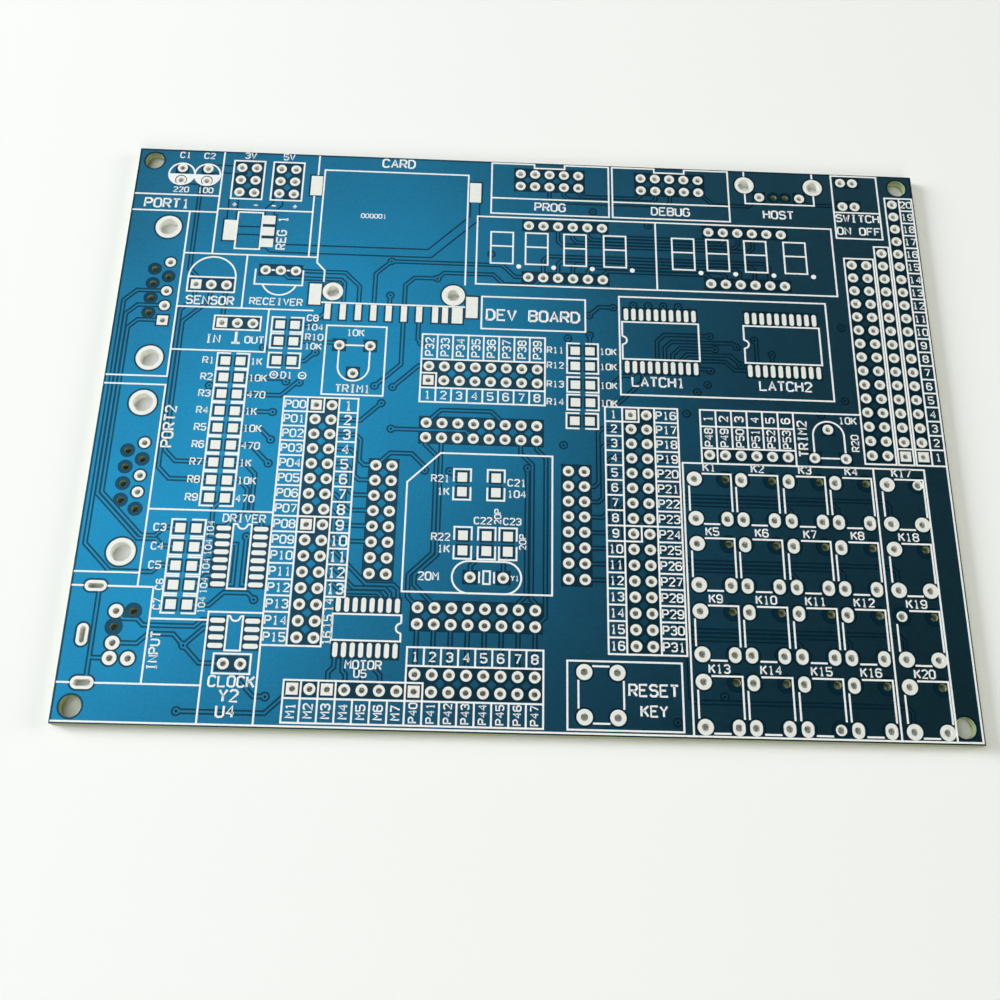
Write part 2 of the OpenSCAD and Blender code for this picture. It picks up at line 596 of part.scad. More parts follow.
// Footprints of the serial ports

module serial_pads(port) {
    color(tin)
        on_panel() {
            for (k = port[1])
                translate(serial_pin(port, k))
                    pin_hole(k == port[2]);
            for (side = [-1, 1])
                translate(serial_lock(port, side))
                    round_hole(lock_land_d, lock_drill_d);
        }
}

// Footprints of the surface parts

module chip_rows(chip, grow) {
    turn = chip[3] ? 90 : 0;
    for (side = [-1, 1], k = [0 : chip[1] - 1])
        translate(place(chip[0]))
            rotate(turn)
                translate([(k - (chip[1] - 1) / 2) * pitch / 2, side * chip[2] / 2])
                    oblong([chip_land_w, chip_land_l] + [grow, grow]);
}

module chip_zones(chip) {
    run = (chip[1] - 1) * pitch / 2 + chip_land_w + 2 * clearance;
    for (side = [-1, 1])
        translate(place(chip[0]))
            rotate(chip[3] ? 90 : 0)
                translate([0, side * chip[2] / 2])
                    square([run, chip_land_l + 2 * clearance], center = true);
}

module chip_pads(chip) {
    color(tin)
        on_panel()
            surface_land()
                chip_rows(chip, 0);
}

module passive_lands(part, grow) {
    translate(place(part[0]))
        rotate(part[1] ? 90 : 0)
            for (side = [-1, 1])
                translate([side * passive_span / 2, 0])
                    square([passive_land_l, passive_land_w] + [grow, grow], center = true);
}

module passive_pads(list) {
    color(tin)
        on_panel()
            surface_land()
                for (part = list)
                    passive_lands(part, 0);
}

module regulator_lands(grow) {
    translate(place(regulator) - [regulator_span / 2, 0])
        square(regulator_tab + [grow, grow], center = true);
    for (k = [-1 : 1])
        translate(place(regulator) + [regulator_span / 2, k * regulator_pitch])
            square(regulator_land + [grow, grow], center = true);
}

module card_lands(grow) {
    for (p = card_contacts)
        translate(place(p))
            square([contact_w, contact_l] + [grow, grow], center = true);
    translate(place(card_wide_contact))
        square([card_wide_w, contact_l] + [grow, grow], center = true);
    for (p = card_tabs)
        translate(place(p))
            square(tab_size + [grow, grow], center = true);
}

// Drilled panel and etched copper

module drill(list, d) {
    for (p = list)
        translate(p)
            circle(d = d);
}

module corner_holes(d) {
    for (x = [panel_min[0] + mount_inset_x, panel_max[0] - mount_inset_x])
        for (y = [panel_min[1] + mount_inset_y, panel_max[1] - mount_inset_y])
            translate([x, y])
                circle(d = d);
}

pin_points = [for (h = headers) each [for (p = header_pins(h)) place(p)]];
via_points = [for (p = via_places) place(p)];
reset_points = [for (pin = key_pins) place(reset_button) + pin];
key_points = [
    for (c = [0 : len(key_columns) - 1], r = [0 : len(key_rows) - 1], pin = key_pins) key_corner(c, r) + pin
];
serial_near_points = [for (port = serial_ports, k = [0 : 4]) serial_pin(port, k)];
serial_far_points = [for (port = serial_ports, k = [0 : 3]) serial_far_pin(port, k)];
lock_points = [for (port = serial_ports, side = [-1, 1]) serial_lock(port, side)];
din_points = [for (p = concat(din_pins, din_blanks)) place(p)];
shield_points = [for (p = host_shields) place(p)];
host_blank_points = [for (p = host_blanks) place(p)];
peg_points = [for (p = card_pegs) place(p)];

module lead_holes(grow) {
    drill(concat(pin_points, serial_near_points, serial_far_points, host_blank_points), pin_drill_d + grow);
    drill(via_points, via_drill_d + grow);
    drill(concat(key_points, reset_points), key_drill_d + grow);
    drill(lock_points, lock_drill_d + grow);
    drill(din_points, din_drill_d + grow);
    drill(shield_points, shield_drill_d + grow);
    drill(peg_points, peg_drill_d + grow);
    for (slot = din_slots)
        translate(place(slot[0]))
            oblong(slot[1] - 2 * [din_slot_rim, din_slot_rim] + [grow, grow]);
}

module laminate() {
    color(mask_on_core)
        on_panel()
            translate([0, 0, core_z])
                linear_extrude(core_t)
                    difference() {
                        translate(panel_min)
                            square(panel_size);
                        corner_holes(mount_d);
                        lead_holes(0);
                    }
}

// A header's cleared block: one rectangle where its pins are one pitch apart, or one for each pin
module header_zone(h) {
    reach = pin_land_d / 2 + clearance;
    run = [h[4][0] == 1 ? h[1] : 1, h[4][1] == 1 ? h[2] : 1];
    for (c = [0 : run[0] : h[1] - 1], r = [0 : run[1] : h[2] - 1])
        translate(place(header_pin(h, c, r + run[1] - 1)) - [reach, reach])
            square(pitch * (run - [1, 1]) + 2 * [reach, reach]);
}

module lead_zones() {
    gap = 2 * clearance;
    for (h = headers)
        header_zone(h);
    drill(concat(serial_near_points, serial_far_points, host_blank_points), pin_land_d + gap);
    for (port = serial_ports, k = port[1])
        if (k == port[2])
            translate(serial_pin(port, k))
                square(pin_land_d + gap, center = true);
    drill(via_points, via_land_d + gap);
    drill(concat(key_points, reset_points), key_land_d + gap);
    drill(lock_points, lock_land_d + gap);
    drill(din_points, din_land_d + gap);
    drill(shield_points, shield_land_d + gap);
    for (i = [0 : len(peg_points) - 1])
        translate(peg_points[i])
            circle(d = peg_land_d[i] + gap);
    for (slot = din_slots)
        translate(place(slot[0]))
            oblong(slot[1] + [gap, gap]);
    corner_holes(mount_d + gap);
}

// Copper left in the middle of each four neighbouring round lands, where no top track runs
module land_islands() {
    side = min(island_w, 2 * (pitch / sqrt(2) - pin_land_d / 2 - clearance));
    difference() {
        for (h = headers)
            if (h[4] == grid && h[1] > 1 && h[2] > 1)
                for (c = [0 : h[1] - 2], r = [0 : h[2] - 2])
                    if (!beside_square(h, c, r))
                        translate(place(header_pin(h, c + 0.5, r + 0.5)))
                            rotate(45)
                                square(side, center = true);
        track_lines(tracks_top, rails_top, 2 * side);
    }
}

// Outlines of the lands with holes, and of the lands on the top face only
module lead_lands() {
    for (h = headers, r = [0 : h[2] - 1], c = [0 : h[1] - 1])
        translate(place(header_pin(h, c, r)))
            if (listed(h[3], [c, r]))
                square(pin_land_d, center = true);
            else
                circle(d = pin_land_d);
    for (port = serial_ports, k = port[1])
        translate(serial_pin(port, k))
            if (k == port[2])
                square(pin_land_d, center = true);
            else
                circle(d = pin_land_d);
    drill(via_points, via_land_d);
    for (c = [0 : len(key_columns) - 1], r = [0 : len(key_rows) - 1], pin = [0 : len(key_pins) - 1])
        translate(key_corner(c, r) + key_pins[pin])
            key_land(c, r, pin);
    drill(din_points, din_land_d);
    for (slot = din_slots)
        translate(place(slot[0]))
            oblong(slot[1]);
}

module surface_lands() {
    for (chip = chips)
        chip_rows(chip, 0);
    for (part = passives)
        passive_lands(part, 0);
    regulator_lands(0);
    card_lands(0);
}

module surface_zones() {
    gap = 2 * clearance;
    for (chip = chips)
        chip_zones(chip);
    for (part = passives)
        passive_lands(part, gap);
    regulator_lands(gap);
    card_lands(gap);
}

module foil_sheet() {
    translate(panel_min + [foil_inset, foil_inset])
        square(panel_size - 2 * [foil_inset, foil_inset]);
}

// Tracks of one face, widened by the given amount
module track_lines(tracks, rails, grow) {
    for (route = tracks)
        ribbon([for (p = route) place(p)], track_w + grow);
    for (route = rails)
        ribbon([for (p = route) place(p)], rail_w + grow);
}

// The copper area around the cleared lands and tracks, and the tracks up to their lands
module foil_top() {
    color(mask_on_copper)
        on_panel()
            surface_land() {
                difference() {
                    foil_sheet();
                    track_lines(tracks_top, rails_top, 2 * track_gap);
                    lead_zones();
                    surface_zones();
                }
                difference() {
                    track_lines(tracks_top, rails_top, 0);
                    lead_lands();
                    surface_lands();
                }
                land_islands();
            }
}

module foil_bottom() {
    color(mask_on_copper)
        on_panel()
            linear_extrude(foil_t) {
                difference() {
                    foil_sheet();
                    track_lines(tracks_bottom, rails_bottom, 2 * track_gap);
                    lead_zones();
                }
                difference() {
                    track_lines(tracks_bottom, rails_bottom, 0);
                    lead_lands();
                }
            }
}

module vias() {
    color(mask_on_copper)
        on_panel()
            for (p = via_points)
                translate(p)
                    round_hole(via_land_d, via_drill_d);
}

module port_eb_pads() { pads_of([port_eb]); }
module port_f_pads() { pads_of([port_f]); }
module port_d_pads() { pads_of([port_d]); }
module port_ac_pads() { pads_of([port_ac]); }
module port_g_pads() { pads_of([port_g]); }
module motor_pads() { pads_of([motor]); }
module cpu_back_pads() { pads_of([cpu_back]); }
module cpu_left_pads() { pads_of([cpu_left]); }
module cpu_right_pads() { pads_of([cpu_right]); }
module cpu_front_pads() { pads_of([cpu_front]); }
module panel_left_pads() { pads_of([panel_left]); }
module panel_middle_pads() { pads_of([panel_middle_row]); }
module panel_right_pads() { pads_of([panel_right]); }
module program_header_pads() { pads_of([program_header]); }
module debug_header_pads() { pads_of([debug_header]); }
module display_left_pads() { pads_of([display_left]); }
module display_right_pads() { pads_of([display_right]); }
module supply_header_pads() { pads_of([supply_left, supply_right]); }
module sensor_pads() { pads_of([sensor]); }
module receiver_pads() { pads_of([receiver]); }
module jumper_pads() { pads_of([jumper]); }
module capacitor_pads() { pads_of([capacitor_left, capacitor_right]); }
module trimmer_pads() { pads_of([trimmer_ends, trimmer_wiper, contrast_ends, contrast_wiper]); }
module crystal_pads() { pads_of([cpu_crystal, clock_crystal]); }
module power_switch_pads() { pads_of([power_switch]); }
module serial_upper_pads() { serial_pads(serial_upper); }
module serial_lower_pads() { serial_pads(serial_lower); }
module key_pads_1() { key_column(0); }
module key_pads_2() { key_column(1); }
module key_pads_3() { key_column(2); }
module key_pads_4() { key_column(3); }
module key_pads_5() { key_column(4); }
module line_driver_pads() { chip_pads(line_driver); }
module clock_chip_pads() { chip_pads(clock_chip); }
module motor_driver_pads() { chip_pads(motor_driver); }
module latch_left_pads() { chip_pads(latch_left); }
module latch_right_pads() { chip_pads(latch_right); }
module resistor_pads() { passive_pads(resistors); }
module decoupling_pads() { passive_pads(decoupling); }
module cpu_passive_pads() { passive_pads(cpu_passives); }
module pull_up_pads() { passive_pads(pull_ups); }

module round_socket_pads() {
    color(tin)
        on_panel() {
            for (p = din_pins)
                translate(place(p))
                    round_hole(din_land_d, din_drill_d);
            for (slot = din_slots)
                translate(place(slot[0]))
                    plated_slot(slot[1], slot[1] - 2 * [din_slot_rim, din_slot_rim]);
        }
}

module host_socket_pads() {
    pads_of([host_pins]);
    color(tin)
        on_panel()
            for (p = shield_points)
                translate(p)
                    round_hole(shield_land_d, shield_drill_d);
}

module reset_button_pads() {
    color(tin)
        on_panel()
            for (p = reset_points)
                translate(p)
                    round_hole(key_land_d, key_drill_d);
}

module card_socket_pads() {
    color(tin)
        on_panel() {
            surface_land()
                card_lands(0);
            for (i = [0 : len(peg_points) - 1])
                translate(peg_points[i])
                    round_hole(peg_land_d[i], peg_drill_d);
        }
}

module regulator_pads() {
    color(tin)
        on_panel()
            surface_land()
                regulator_lands(0);
}

// Legend lines, with their ends at places on the grid

module printed() {
    color(ink)
        on_panel()
            translate([0, 0, top_z])
                linear_extrude(ink_t)
                    children();
}

module across(y, x0, x1) {
    translate([place(x0) - line_w / 2, place(y) - line_w / 2])
        square([place(x1 - x0) + line_w, line_w]);
}

module along(x, y0, y1) {
    translate([place(x) - line_w / 2, place(y0) - line_w / 2])
        square([line_w, place(y1 - y0) + line_w]);
}

module outline(x0, y0, x1, y1) {
    across(y0, x0, x1);
    across(y1, x0, x1);
    along(x0, y0, y1);
    along(x1, y0, y1);
}

// A row of cells between two lines
module cells(x0, count, y0, y1) {
    for (k = [0 : count])
        along(x0 + k, y0, y1);
}

// A column of cells between two lines
module rungs(y0, count, x0, x1) {
    for (k = [0 : count])
        across(y0 - k, x0, x1);
}

module ring(r) {
    difference() {
        circle(r + line_w / 2);
        circle(r - line_w / 2);
    }
}

// A rectangle's outline around its middle
module rim(size) {
    difference() {
        square(size + [line_w, line_w], center = true);
        square(size - [line_w, line_w], center = true);
    }
}

// The part of a ring that stands further back than the given distance from its middle, then turned
module arch(r, turn, from) {
    rotate(turn)
        intersection() {
            ring(r);
            translate([-2 * r, from])
                square([4 * r, 2 * r]);
        }
}

module passive_outline(part) {
    split = passive_span - passive_land_l;
    translate(place(part[0]))
        rotate(part[1] ? 90 : 0)
            difference() {
                rim(passive_box);
                square([split, 2 * passive_box[1]], center = true);
            }
}

// A chip's body between its two rows of lands, with the notch at its first end
function chip_body(chip) =
    let (body = [(chip[1] - 1) * pitch / 2 + 1.4, chip[2] - chip_land_l - 0.65])
    chip[3] ? [body[1], body[0]] : body;

module chip_outline(chip, notch_turn) {
    size = chip_body(chip);
    notch_r = 0.75;
    reach = abs(cos(notch_turn)) * size[0] / 2 + abs(sin(notch_turn)) * size[1] / 2;
    translate(place(chip[0])) {
        difference() {
            rim(size);
            rotate(notch_turn)
                translate([reach, 0])
                    square([2 * line_w, 2 * notch_r], center = true);
        }
        rotate(notch_turn)
            translate([reach, 0])
                arch(notch_r, 90, 0);
    }
}

// Frame around the pins of a header
module header_box(h, margin) {
    last = header_pin(h, h[1] - 1, h[2] - 1);
    outline(h[0][0] - margin, last[1] - margin, last[0] + margin, h[0][1] + margin);
}

// Lines shared by the frames of the left side, in header pitches
serial_line = serial_upper[0][0] + 0.8;
serial_reach = 6.2;
strip_front = serial_upper[0][1] + serial_reach;
supply_line = supply_left[0][0] - 1.3;
sensor_back = sensor[0][1] + 2.35;
sensor_front = sensor[0][1] - 1.7;
card_left = card_pegs[0][0] - 1.2;
card_right = card_pegs[1][0] + 0.75;
clock_left = clock_chip[0][0] - 1.6;
clock_right = clock_chip[0][0] + 1.6;
clock_back = clock_chip[0][1] + 1.25;

// Legend of the left side: strip, supply corner, sensors and serial ports
module left_lines() {
    tab = card_tabs[0];
    jumper_right = jumper[0][0] + 2.95;
    jumper_front = jumper[0][1] - 2.05;
    driver_back = line_driver[0][1] + 2.85;
    across(strip_front + 1.3, border_l, supply_line);
    across(strip_front, border_l, supply_line);
    along(supply_line, sensor_back, border_b);
    across(regulator[1] + 1.65, supply_line, tab[0] - 0.1);
    along(tab[0] - 0.1, sensor_back, tab[1] - 0.9);
    along(tab[0] + 0.05, tab[1] + 0.9, border_b);
    for (h = [capacitor_left, capacitor_right])
        translate(place(header_pin(h, 0, 0.5)))
            capacitor_mark();
    header_box(supply_left, 0.55);
    header_box(supply_right, 0.55);
    across(sensor_back, serial_line, card_left);
    across(sensor_front, serial_line, card_left);
    along(receiver[0][0] - 1.3, sensor_front, sensor_back);
    header_box(sensor, 0.55);
    translate(place(header_pin(sensor, 1, 0) + [0, 0.55]))
        arch(place(1.55), 0, 0);
    receiver_mark();
    header_box(jumper, 0.5);
    along(jumper_right, jumper_front, sensor_front);
    across(jumper_front, serial_line, jumper_right);
    along(serial_line, serial_upper[0][1] - serial_reach, strip_front);
    across(serial_upper[0][1] - serial_reach, border_l, serial_line);
    for (side = [-1, 1])
        across(serial_lower[0][1] + side * serial_reach, border_l, serial_line);
    along(serial_line, din_slots[0][0][1], serial_lower[0][1] + serial_reach);
    across(driver_back, serial_line, clock_right);
    along(clock_right, border_f, driver_back);
    along(clock_left, border_f, clock_back);
    across(clock_back, clock_left, clock_right);
    socket_lines();
}

// The round socket's frame, open at its shield slots
module socket_lines() {
    back = din_slots[0][0];
    front = din_slots[2][0];
    right = din_pins[3][0] + 0.95;
    gap = 0.75;
    across(back[1], border_l, back[0] - gap);
    across(back[1], back[0] + gap, right);
    along(right, front[1], back[1]);
    across(front[1], border_l, front[0] - gap);
    across(front[1], front[0] + gap, clock_left);
    across(clock_chip[0][1] + 0.75, right, clock_left);
}

// A round capacitor's outline, with its negative half filled
module capacitor_mark() {
    r = place(0.87);
    ring(r);
    difference() {
        intersection() {
            circle(r);
            translate([-r, -2 * r])
                square(2 * r);
        }
        translate(place([0, -0.5]))
            circle(d = pin_land_d + clearance);
    }
}

// The receiver's case between its pins, and its lens in front
module receiver_mark() {
    pin = receiver[0];
    left = pin[0] - 0.65;
    right = header_pin(receiver, 2, 0)[0] + 0.5;
    across(pin[1] - 1.1, left, right);
    for (x = [left, right])
        along(x, pin[1] - 1.1, pin[1]);
    for (c = [0.5, 1.5])
        across(pin[1], pin[0] + c - 0.05, pin[0] + c + 0.05);
    translate(place(header_pin(receiver, 1, 0.7)))
        arch(place(1.17), 180, place(0.4));
}

// The card socket's case round its pegs
module card_lines() {
    back = card_tabs[0][1] + 1.3;
    peg_y = card_pegs[0][1];
    step_x = card_pegs[0][0] - 0.65;
    across(back, card_left, card_right);
    along(card_right, peg_y + 0.85, back);
    along(card_left, peg_y + 2.15, back);
    ribbon([place([card_left, peg_y + 2.15]), place([step_x, peg_y + 1.55])], line_w);
    along(step_x, peg_y + 0.75, peg_y + 1.55);
    across(peg_y - 0.85, step_x, card_right);
}

// Tables beside the port headers, with a box around each first pin
module port_lines() {
    tall_table(port_eb, [-2.05, -0.55], [1.45, 2.65], 13);
    tall_table(port_ac, [-1.65, -0.55], [1.5, 3], 16);
    flat_table(port_f, 2.3, -2.55);
    flat_table(port_d, 1.6, -2.95);

    motor_x = motor[0][0] - 0.5;
    motor_y = motor[0][1];
    for (y = [0.5, -0.55, -1.95])
        across(motor_y + y, motor_x, motor_x + motor[1]);
    cells(motor_x, motor[1], motor_y - 1.95, motor_y - 0.55);
    cells(motor_x, 3, motor_y - 0.55, motor_y + 0.5);

    row_x = port_g[0][0] - 0.5;
    row_y = port_g[0][1];
    across(row_y + 3.1, row_x, panel_left[0][0] - 0.5);
    for (y = [0.45, 1.95])
        across(row_y + y, row_x, row_x + port_g[1]);
    cells(row_x, port_g[1], row_y + 0.45, row_y + 3.1);
    for (c = [0, 1, port_g[1]])
        along(row_x + c, row_y - 0.6, row_y + 0.45);
}

// Table of a tall header: cells from edge to edge on its left and on its right
module tall_table(h, left, right, right_rows) {
    x = h[0][0];
    back = h[0][1] + 0.5;
    for (edge = [left[0], left[1], right[0]])
        along(x + edge, back - h[2], back);
    along(x + right[1], back - right_rows, back);
    rungs(back, h[2], x + left[0], x + left[1]);
    rungs(back, right_rows, x + right[0], x + right[1]);
    for (half = [0, h[2] / 2]) {
        across(back - half, x + left[1], x + right[0]);
        across(back - half - 1, x + left[1], x + 0.5);
        along(x + 0.5, back - half - 1, back - half);
    }
    across(back - h[2], x + left[1], x + right[0]);
}

// Table of a flat header: cells behind and in front of its pins
module flat_table(h, back, front) {
    x = h[0][0] - 0.5;
    y = h[0][1];
    back_line = 0.5;
    front_line = 0.45 - h[2];
    for (edge = [back, back_line, front_line, front])
        across(y + edge, x, x + h[1]);
    cells(x, h[1], y + back_line, y + back);
    cells(x, h[1], y + front, y + front_line);
    for (side = [x, x + h[1]])
        along(side, y + front_line, y + back_line);
    across(y + front_line + 1.05, x, x + 1);
    along(x + 1, y + front_line, y + front_line + 1.05);
}

// Digits of a display, from its first pin
digit_columns = [-2.55, -0.2, 2.4, 5.1];
digit_w = 1.5;
digit_h = 2.45;
point_d = 0.85;

module display_lines() {
    middle = (header_pin(display_left, 5, 0)[0] + display_right[0][0]) / 2;
    display_frame(display_left, display_left[0][0] - 3.5, middle);
    display_frame(display_right, middle, header_pin(display_right, 5, 0)[0] + 3.5);
    outline(10.3, 5.85, 17.15, 8.25);
    boxed_header(program_header);
    boxed_header(debug_header);
    for (p = host_shields) {
        along(p[0], p[1] + 0.77, border_b);
        along(p[0], p[1] - 1.5, p[1] - 0.77);
    }
    across(host_shields[0][1] - 1.5, host_shields[0][0], host_shields[1][0]);
    outline(power_switch[0][0] - 0.65, power_switch[0][1] - 4.55, power_switch[0][0] + 2.55, border_b);
    across(power_switch[0][1] - 2.45, power_switch[0][0] - 0.65, power_switch[0][0] + 2.55);
}

// A display's frame, and its digits with their points
module display_frame(h, left, right) {
    foot = h[0][1] - 3.05;
    outline(left, header_pin(h, 0, 1)[1] - 0.65, right, h[0][1] + 0.6);
    for (c = digit_columns) {
        x = h[0][0] + c;
        outline(x, foot, x + digit_w, foot + digit_h);
        across(foot + 1.35, x, x + digit_w);
        translate(place([x + digit_w + 0.4, foot - 0.2]))
            circle(d = point_d);
    }
}

// A boxed header: walls, label line, and the key slot at the back edge
module boxed_header(h) {
    left = h[0][0] - 2;
    right = header_pin(h, h[1] - 1, 0)[0] + 2.1;
    front = h[0][1] - 3.3;
    middle = h[0][0] + (h[1] - 1) / 2;
    slot = 1.05;
    slot_y = h[0][1] + 0.5;
    across(front, left, right);
    across(front + 1.25, left, right);
    for (x = [left, right])
        along(x, front, border_b);
    across(border_b, left, middle - slot);
    across(border_b, middle + slot, right);
    for (x = [middle - slot, middle + slot])
        along(x, slot_y, border_b);
    across(slot_y, middle - slot, middle + slot);
}

module chip_lines() {
    first = latch_left[0];
    last = latch_right[0];
    turner = trimmer_ends[0];
    outline(first[0] - 2.7, first[1] - 3.95, last[0] + 3.1, last[1] + 3.25);
    chip_outline(latch_left, 180);
    chip_outline(latch_right, 180);
    chip_outline(line_driver, 90);
    chip_outline(clock_chip, 90);
    chip_outline(motor_driver, 0);
    header_box(clock_crystal, 0.58);
    translate(place(regulator))
        rim([regulator_span - regulator_land[0], 3 * regulator_pitch + 0.4]);
    cpu_frame();
    crystal_mark();
    outline(turner[0] - 0.9, turner[1] - 3.55, turner[0] + 3, turner[1] + 1.4);
    trimmer_mark(trimmer_ends, 0);
    trimmer_mark(contrast_ends, 180);
}

// The processor's frame inside its four header blocks, with one corner cut off
module cpu_frame() {
    left = cpu_left[0][0] + 2;
    right = cpu_right[0][0] - 1;
    back = cpu_back[0][1] - 2.05;
    front = cpu_front[0][1] + 0.95;
    cut = 2;
    across(back, left + cut, right);
    along(right, front, back);
    across(front, left, right);
    along(left, front, back - cut);
    ribbon([place([left, back - cut]), place([left + cut, back])], line_w);
}

// A crystal can's outline, with the symbol of a plate between two electrodes
module crystal_mark() {
    can = [10.6, 5.1];
    middle = header_pin(cpu_crystal, 0.5, 0);
    translate(place(middle))
        difference() {
            oblong(can + [line_w, line_w]);
            oblong(can - [line_w, line_w]);
        }
    outline(middle[0] - 0.2, middle[1] - 0.4, middle[0] + 0.2, middle[1] + 0.4);
    for (side = [-0.45, 0.45])
        along(middle[0] + side, middle[1] - 0.3, middle[1] + 0.3);
}

// A trimmer's outline from its end pins round its wiper
module trimmer_mark(ends, turn) {
    leg = 1.55;
    stop = 0.45;
    translate(place(header_pin(ends, 0.5, 0)))
        rotate(turn) {
            across(0, stop - 1, 1 - stop);
            for (x = [-1, 1])
                along(x, -leg, -stop);
            translate(place([0, -leg]))
                arch(pitch, 180, 0);
        }
}

// Outline of a key between its lands, closed round the corner of its bare pin
module key_mark(bare_corner) {
    out = 0.9;
    stop = key_land_d / 2 + line_w / 2;
    right = key_pin_x + out;
    back_end = bare_corner ? right : key_pin_x - stop;
    right_end = bare_corner ? out : -stop;
    bar([stop, out], [back_end, out]);
    bar([stop, -key_pin_y - out], [key_pin_x - stop, -key_pin_y - out]);
    bar([-out, stop - key_pin_y], [-out, -stop]);
    bar([right, stop - key_pin_y], [right, right_end]);
}

module bar(a, b) {
    translate(a - [line_w, line_w] / 2)
        square(b - a + [line_w, line_w]);
}

module key_lines() {
    back = port_g[0][1] - 0.6;
    left = key_columns[0] - 0.7;
    right = key_columns[4] + 2.45;
    for (x = [left, key_columns[4] - 0.8, right])
        along(x, border_f, back);
    across(back, left, right);
    for (c = [0 : len(key_columns) - 1], r = [0 : len(key_rows) - 1])
        translate(key_corner(c, r))
            key_mark(true);
    outline(reset_button[0] - 1, reset_button[1] - 3.35, reset_button[0] + 5.75, reset_button[1] + 0.65);
    translate(place(reset_button))
        key_mark(false);
    across(border_f, border_l, border_r);
}

// Frames of the panel headers on a common front line, and the numbered cells beside the last one
module panel_lines() {
    back = panel_right[0][1] + 0.5;
    front = back - panel_right[2] - 0.1;
    cells_x = panel_right[0][0] + 0.5;
    for (h = [panel_left, panel_middle_row, panel_right])
        outline(h[0][0] - 0.5, front, h[0][0] + h[1] - 0.5, h[0][1] + 0.5);
    for (h = [panel_middle_row, panel_right])
        across(front + 1.1, h[0][0] - 0.5, h[0][0] + 0.5);
    rungs(back, panel_right[2] - 1, cells_x, border_r);
    across(front, cells_x, border_r);
    along(border_r, border_f, back);
}

module legend() {
    printed() {
        left_lines();
        card_lines();
        for (part = passives)
            passive_outline(part);
        port_lines();
        display_lines();
        chip_lines();
        key_lines();
        panel_lines();
    }
}

laminate();
foil_top();
foil_bottom();
vias();
port_eb_pads();
port_f_pads();
port_d_pads();
port_ac_pads();
port_g_pads();
motor_pads();
cpu_back_pads();
cpu_left_pads();
cpu_right_pads();
cpu_front_pads();
panel_left_pads();
panel_middle_pads();
panel_right_pads();
program_header_pads();
debug_header_pads();
display_left_pads();
display_right_pads();
supply_header_pads();
sensor_pads();
receiver_pads();
jumper_pads();
capacitor_pads();
trimmer_pads();
crystal_pads();
serial_upper_pads();
serial_lower_pads();
round_socket_pads();
host_socket_pads();
power_switch_pads();
reset_button_pads();
key_pads_1();
key_pads_2();
key_pads_3();
key_pads_4();
key_pads_5();
card_socket_pads();
regulator_pads();
line_driver_pads();
clock_chip_pads();
motor_driver_pads();
latch_left_pads();
latch_right_pads();
resistor_pads();
decoupling_pads();
cpu_passive_pads();
pull_up_pads();
legend();
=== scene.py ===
import math

import bmesh
import bpy
from mathutils import Matrix, Quaternion, Vector


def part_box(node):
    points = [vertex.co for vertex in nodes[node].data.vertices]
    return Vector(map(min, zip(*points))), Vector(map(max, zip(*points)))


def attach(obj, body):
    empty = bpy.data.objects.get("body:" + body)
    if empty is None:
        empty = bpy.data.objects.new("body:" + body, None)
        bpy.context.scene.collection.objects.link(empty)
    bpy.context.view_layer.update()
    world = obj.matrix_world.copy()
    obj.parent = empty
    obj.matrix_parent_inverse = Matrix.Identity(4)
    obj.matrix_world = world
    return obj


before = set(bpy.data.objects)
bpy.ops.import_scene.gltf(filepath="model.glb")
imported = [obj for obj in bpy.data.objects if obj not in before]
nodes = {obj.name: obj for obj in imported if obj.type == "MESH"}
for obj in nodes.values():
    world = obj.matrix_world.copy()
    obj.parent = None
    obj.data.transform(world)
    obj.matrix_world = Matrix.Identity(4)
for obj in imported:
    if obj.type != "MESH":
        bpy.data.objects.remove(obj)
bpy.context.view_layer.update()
scene = bpy.context.scene
mm = 0.001
print("board loaded:", len(nodes), "pieces")


# camera, where the photograph was taken from
camera = {
    "target": (-3.92 * mm, -13.22 * mm, 0),  # point on the table in the middle of the picture
    "distance": 169.65 * mm,
    "azimuth": -4.38,          # degrees, as are the elevation and the roll
    "elevation": 69.85,
    "roll": 5.83,
    "lens": 38.58,             # mm
    "sensor": 36,              # mm, width of the film that the lens is given for
    "nearest": 10 * mm,        # anything closer to the lens isn't drawn
}

camData = bpy.data.cameras.new("camera")
camData.lens = camera["lens"]
camData.sensor_width = camera["sensor"]
camData.clip_start = camera["nearest"]
camObject = bpy.data.objects.new("camera", camData)
scene.collection.objects.link(camObject)
turned = (
    Matrix.Rotation(math.radians(camera["azimuth"]), 4, "Z")
    @ Matrix.Rotation(math.radians(90 - camera["elevation"]), 4, "X")
    @ Matrix.Rotation(math.radians(camera["roll"]), 4, "Z")
)
towardsCamera = turned.to_3x3() @ Vector((0, 0, 1))
camPlace = Vector(camera["target"]) + camera["distance"] * towardsCamera
camObject.matrix_world = Matrix.Translation(camPlace) @ turned
scene.camera = camObject
print("camera set")


# materials
mixFactor, mixFrom, mixTo, mixResult = 0, 6, 7, 2  # sockets of a Mix node that mixes colours


def hexColor(code):
    srgb = [int(code[i:i + 2], 16) / 255 for i in (1, 3, 5)]
    return [c / 12.92 if c <= 0.04045 else ((c + 0.055) / 1.055) ** 2.4 for c in srgb] + [1]


def addNode(tree, kind, settings=None, links=None):
    node = tree.nodes.new(kind)
    for name, value in (settings or {}).items():
        if isinstance(name, int) or name in node.inputs:
            node.inputs[name].default_value = value
        else:
            setattr(node, name, value)
    for name, socket in (links or {}).items():
        tree.links.new(socket, node.inputs[name])
    return node


def newMaterial(name):
    material = bpy.data.materials.new(name)
    material.use_nodes = True
    material.node_tree.nodes.clear()
    return material, material.node_tree


